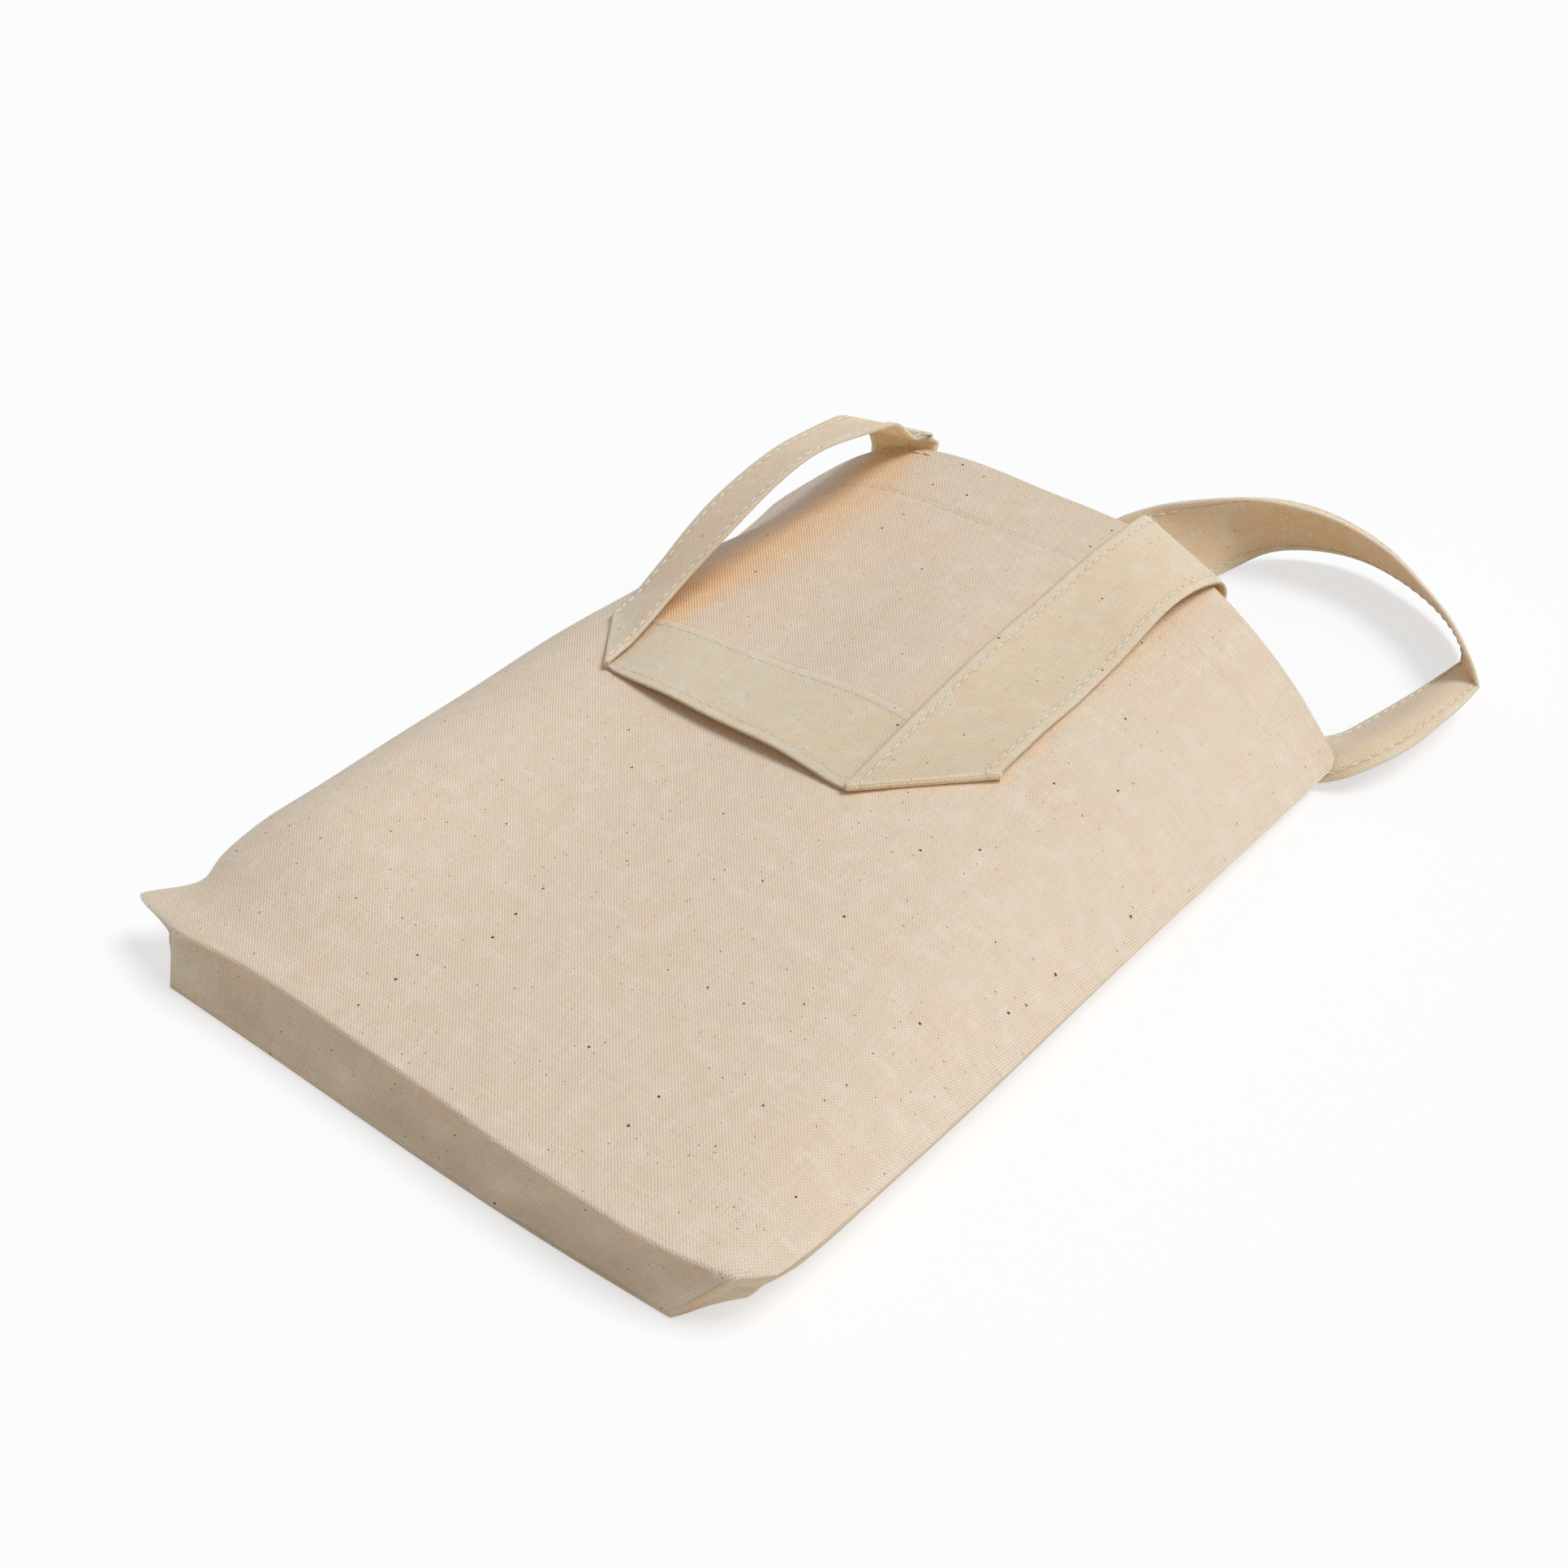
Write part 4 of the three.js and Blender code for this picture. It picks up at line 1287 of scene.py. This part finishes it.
@dataclass
class BackHandle(Handle):
    """The back strap: sewn inside the back hem, and looped out beyond the mouth on its lower edge."""

    root_left: float = -0.016
    root_right: float = 0.081
    tack_z: float = 0.0048
    loop: StrapRoute = StrapRoute(
        first=(
            (66, 118, 3.6), (66.5, 128, 3.6), (72, 136.5, 3.2), (83, 142.5, 2.4), (92, 149, 1.6),
            (96.4, 160, 1.4), (99, 173, 1.4), (101.5, 187, 1.4), (103.3, 199, 1.5),
            (104.5, 207.6, 1.8), (102.6, 212.2, 2.2), (98.2, 217.2, 2.8), (86, 225.2, 3.8),
            (72.4, 230, 4.4), (58.7, 232.4, 4.4), (45.7, 230.4, 4.4), (34.4, 224.5, 3.9),
            (27.8, 218.2, 2.9), (24.3, 209.4, 1.9), (21, 197, 1.4), (12, 172, 1.4), (3, 152, 1.6),
            (-1, 140.3, 3.2), (-1, 132, 3.6), (-1, 118, 3.6),
        ),
        second=(
            (96, 118, 3.6), (98, 121.5, 3.2), (101.5, 127.2, 2.6), (107.0, 130.6, 4.4),
            (113.4, 135.8, 8.4), (119.2, 148.3, 11.4), (121.2, 160.3, 13), (122.1, 171, 13.6),
            (121.6, 179.8, 13), (121, 185.6, 12.8), (116.6, 189.6, 15.2), (110, 194.8, 17.4),
            (97.4, 205.4, 18), (83.7, 212.9, 19.5), (70.1, 218, 21.5), (53.2, 218, 25),
            (37.1, 213.1, 27.4), (25.5, 206, 28.8), (16.3, 197.7, 28.9), (3.2, 188.7, 25.6),
            (-14.8, 166.3, 15), (-26.6, 149.9, 5.6), (-31, 140.3, 3.8), (-31, 132, 3.6),
            (-31, 118, 3.6),
        ),
        bows=(
            0, 0, 0.6, 1.5, 2.5, 3, 3, 2.5, 1.2, 0, 0, -0.2, -0.5,
            -1.2, -2.4, -3.8, -5, -4, -1.8, 0, 0, 0, 0, 0, 0,
        ),
        creases=(9,),
    )

    def build(self) -> list[Piece]:
        """Makes the strap, its stitches and the tacks that hold its ends.

        Returns:
            The pieces.
        """
        edges = self.loop.edges()
        strap = self.strap("back_handle_strap", edges)
        self.ride(strap)
        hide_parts("back_strap", "back_left_strap_end", "back_right_strap_end")
        pieces = [strap]
        for label, share, seed in (("lower", self.ribbon.inset, 57), ("upper", 1 - self.ribbon.inset, 71)):
            row = self.seam(f"back_handle_{label}_stitches", edges, share, (1, -1), seed)
            self.ride(row)
            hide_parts(f"back_strap_{label}_stitching")
            pieces.append(row)
        for side, root in ((Side.LEFT, self.root_left), (Side.RIGHT, self.root_right)):
            label = side.name.lower()
            x, y = self.tack_line(root)
            path = np.stack([x, y, np.full_like(x, self.tack_z)], axis=-1)
            tack = StitchRow(self.tailor).level(f"back_{label}_tack_stitches", path, 83)
            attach(tack, Body.BACK.value)
            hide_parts(f"back_{label}_tack")
            pieces.append(tack)
        return pieces

    def ride(self, piece: Piece) -> None:
        """Bakes a piece's placement into its mesh."""
        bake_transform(piece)


@dataclass
class Hems:
    """The turned hems inside the mouth, with their rows of stitches."""

    shape: BagShape
    tailor: Tailor
    depth: float = 0.025
    cloth: float = 0.0009
    front_gap: float = 0.0003
    front_thread: float = 0.00013
    back_thread: float = 0.00032
    back_face: float = 0.0022
    row_inset: float = 0.002

    def build(self) -> list[Piece]:
        """Makes both hems and their stitches."""
        return self.front() + self.back()

    def front(self) -> list[Piece]:
        """The front hem under the panel, and the stitches on the panel's face.

        Returns:
            The pieces.
        """
        rows = np.linspace(self.shape.length - self.depth, self.shape.length, 16)
        d, u = np.meshgrid(rows, np.linspace(-0.93, 0.93, 70), indexing="ij")
        points = self.shape.front(u, d)
        normal = grid_normals(points)
        near = ease((d - (self.shape.length - 0.004)) / 0.004)
        points = points - normal * (self.shape.cloth + self.front_gap - self.front_gap * near)[..., None]
        hem = self.tailor.lining("front_hem_band", points, 2.0, self.cloth)
        ride_mouth(hem)
        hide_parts("front_hem")
        u = np.linspace(-0.9, 0.9, 120)
        line = np.full_like(u, self.shape.length - self.shape.hem_line)
        path = self.shape.front(u, line)
        tangent = np.gradient(path, axis=0)
        normals = np.cross(tangent, np.tile((0.0, 1.0, 0.0), (len(u), 1)))
        normals /= np.linalg.norm(normals, axis=-1, keepdims=True)
        sewing = StitchRow(self.tailor, radius=self.front_thread)
        row = sewing.build("front_hem_stitches", [(path, normals)], 97)
        ride_mouth(row)
        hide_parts("front_hem_stitching")
        return [hem, row]

    def back(self) -> list[Piece]:
        """The back hem on the back panel, and its stitches.

        Returns:
            The pieces.
        """
        rows = np.linspace(self.shape.mouth - self.depth, self.shape.mouth, 10)
        y, share = np.meshgrid(rows, np.linspace(0.02, 0.98, 50), indexing="ij")
        d = y - self.shape.bottom
        left, right = self.shape.foot(Side.LEFT, d), self.shape.foot(Side.RIGHT, d)
        points = np.stack([left + (right - left) * share, y, np.full_like(y, self.back_face)], axis=-1)
        hem = self.tailor.lining("back_hem_band", points, 3.0, self.cloth)
        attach(hem, Body.BACK.value)
        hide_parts("back_hem")
        x = np.linspace(-0.098, 0.090, 100)
        line = np.full_like(x, self.shape.mouth - self.depth + self.row_inset)
        path = np.stack([x, line, np.full_like(x, 0.0023)], axis=-1)
        row = StitchRow(self.tailor, radius=self.back_thread).level("back_hem_stitches", path, 101)
        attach(row, Body.BACK.value)
        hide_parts("back_hem_stitching")
        return [hem, row]


@dataclass
class Seams:
    """The seam allowances inside: along each side, and up each boxed corner."""

    shape: BagShape
    tailor: Tailor
    width: float = 0.010
    cloth: float = 0.0018

    def build(self) -> list[Piece]:
        """Makes the four allowances."""
        return [piece for side in Side for piece in (self.along_side(side), self.up_corner(side))]

    def along_side(self, side: Side) -> Piece:
        """The doubled cloth along a side, lying on the back panel.

        Args:
            side: The side.

        Returns:
            The piece.
        """
        d, t = np.meshgrid(np.linspace(0.005, 0.252, 90), np.linspace(0.0, 1.0, 7), indexing="ij")
        outer = self.shape.foot(side, d) - side.value * 0.0020
        x = outer - side.value * self.width * t * (1 + 0.06 * np.sin(190 * d))
        z = 0.0034 + 0.0006 * t * np.sin(70 * d + 1.3) + 0.0008 * t
        points = np.stack([x, self.shape.bottom + d, z], axis=-1)
        piece = self.tailor.lining(f"{side.name.lower()}_side_seam", points, 4.0, self.cloth)
        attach(piece, Body.BACK.value)
        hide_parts(f"{side.name.lower()}_seam_allowance")
        return piece

    def up_corner(self, side: Side) -> Piece:
        """The doubled cloth up a boxed corner, against the bottom's inside.

        Args:
            side: The side.

        Returns:
            The piece.
        """
        s, t = np.meshgrid(np.linspace(0.0, 1.0, 16), np.linspace(0.0, 1.0, 7), indexing="ij")
        outer = side.value * (self.shape.base_width / 2 + 0.006 * s) - side.value * 0.0025
        x = outer - side.value * self.width * t
        y = self.shape.bottom + 0.0075 + 0.0005 * np.sin(4 * s + 2 * t)
        points = np.stack([x, np.broadcast_to(y, x.shape), 0.0030 + 0.0115 * s], axis=-1)
        patch = Patch(points, points[..., [0, 2]] + 5.0)
        piece = self.tailor.mesh_from(f"{side.name.lower()}_boxed_corner", [patch], self.tailor.canvas)
        self.tailor.thicken(piece, self.cloth, 0.0)
        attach(piece, Body.BACK.value)
        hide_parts(f"{side.name.lower()}_corner_seam")
        return piece


@dataclass
class Studio:
    """A white floor, one broad light from above the mouth's right corner, and the camera."""

    eye: Place = (0.3916, -0.4623, 0.5196)
    look: Place = (-0.4964, 0.5979, -0.6293)
    lens: float = 65.2
    floor_z: float = -0.0003
    floor_reach: float = 6.0
    floor_tone: float = 0.85
    floor_shade: tuple[float, float, float, float] = (0.372, 0.382, 0.390, 1.0)
    floor_white: float = 0.615
    sky: float = 0.376
    key_strength: float = 2.05
    key_place: Place = (2.0, 1.35, 4.35)
    key_spread: float = 0.46

    def build(self) -> None:
        """Makes the floor, the lights and the camera."""
        self.floor()
        self.lights()
        self.camera()

    def floor(self) -> None:
        """The floor, white to the camera apart from the bag's shadow."""
        mesh = bpy.data.meshes.new("floor")
        reach = self.floor_reach
        corners = [(-reach, -reach), (reach, -reach), (reach, reach), (-reach, reach)]
        mesh.from_pydata([(x, y, self.floor_z) for x, y in corners], [], [(0, 1, 2, 3)])
        floor = bpy.data.objects.new("floor", mesh)
        bpy.context.scene.collection.objects.link(floor)
        shader = Shader(bpy.data.materials.new("floor_white"))
        path = shader.node("ShaderNodeLightPath")
        seen = shader.math("MAXIMUM", path.outputs["Is Camera Ray"], path.outputs["Is Glossy Ray"])
        tone = shader.blend(seen, (self.floor_tone,) * 3 + (1.0,), self.floor_shade)
        lit = shader.node("ShaderNodeBsdfDiffuse", {"Color": tone})
        strength = shader.math("MULTIPLY", seen, self.floor_white)
        glow = shader.node("ShaderNodeEmission", {"Strength": strength})
        both = shader.node("ShaderNodeAddShader", {0: lit.outputs[0], 1: glow.outputs[0]})
        mesh.materials.append(shader.finish(both))

    def lights(self) -> None:
        """A broad soft light from above the mouth's right corner, and an even sky."""
        shader = Shader(bpy.data.worlds.new("sky"))
        seen = shader.node("ShaderNodeLightPath").outputs["Is Camera Ray"]
        strength = shader.math("MULTIPLY_ADD", seen, 1.0 - self.sky, self.sky)
        inputs = {"Color": (1.0, 1.0, 1.0, 1.0), "Strength": strength}
        background = shader.node("ShaderNodeBackground", inputs)
        bpy.context.scene.world = shader.finish(background, "ShaderNodeOutputWorld")
        key = bpy.data.lights.new("key", "SUN")
        key.angle = self.key_spread
        key.energy = self.key_strength
        lamp = bpy.data.objects.new("key", key)
        lamp.location = self.key_place
        lamp.rotation_euler = (-Vector(self.key_place)).to_track_quat("-Z", "Y").to_euler()
        bpy.context.scene.collection.objects.link(lamp)

    def camera(self) -> None:
        """The camera at the photograph's angle."""
        data = bpy.data.cameras.new("camera")
        data.lens = self.lens
        data.sensor_width = 36.0
        data.clip_start = 0.01
        camera = bpy.data.objects.new("camera", data)
        camera.location = self.eye
        camera.rotation_euler = Vector(self.look).to_track_quat("-Z", "Y").to_euler()
        bpy.context.scene.collection.objects.link(camera)
        bpy.context.scene.camera = camera
        bpy.context.scene.view_settings.view_transform = "Standard"


def main() -> None:
    """Builds the bag's pieces in order, sets the studio, and reports each piece."""
    logging.basicConfig(level=logging.INFO, format="%(name)s: %(message)s")
    Studio().build()
    shape, tailor = BagShape(), Tailor()
    pieces = [BagBody(shape, tailor).build()]
    pieces += Hems(shape, tailor).build()
    pieces += Seams(shape, tailor).build()
    pieces += FrontHandle(shape, tailor).build()
    pieces += BackHandle(shape, tailor).build()
    for piece in pieces:
        LOG.info("%s: %d faces", piece.name, len(piece.data.polygons))


if __name__ == "__main__":
    main()
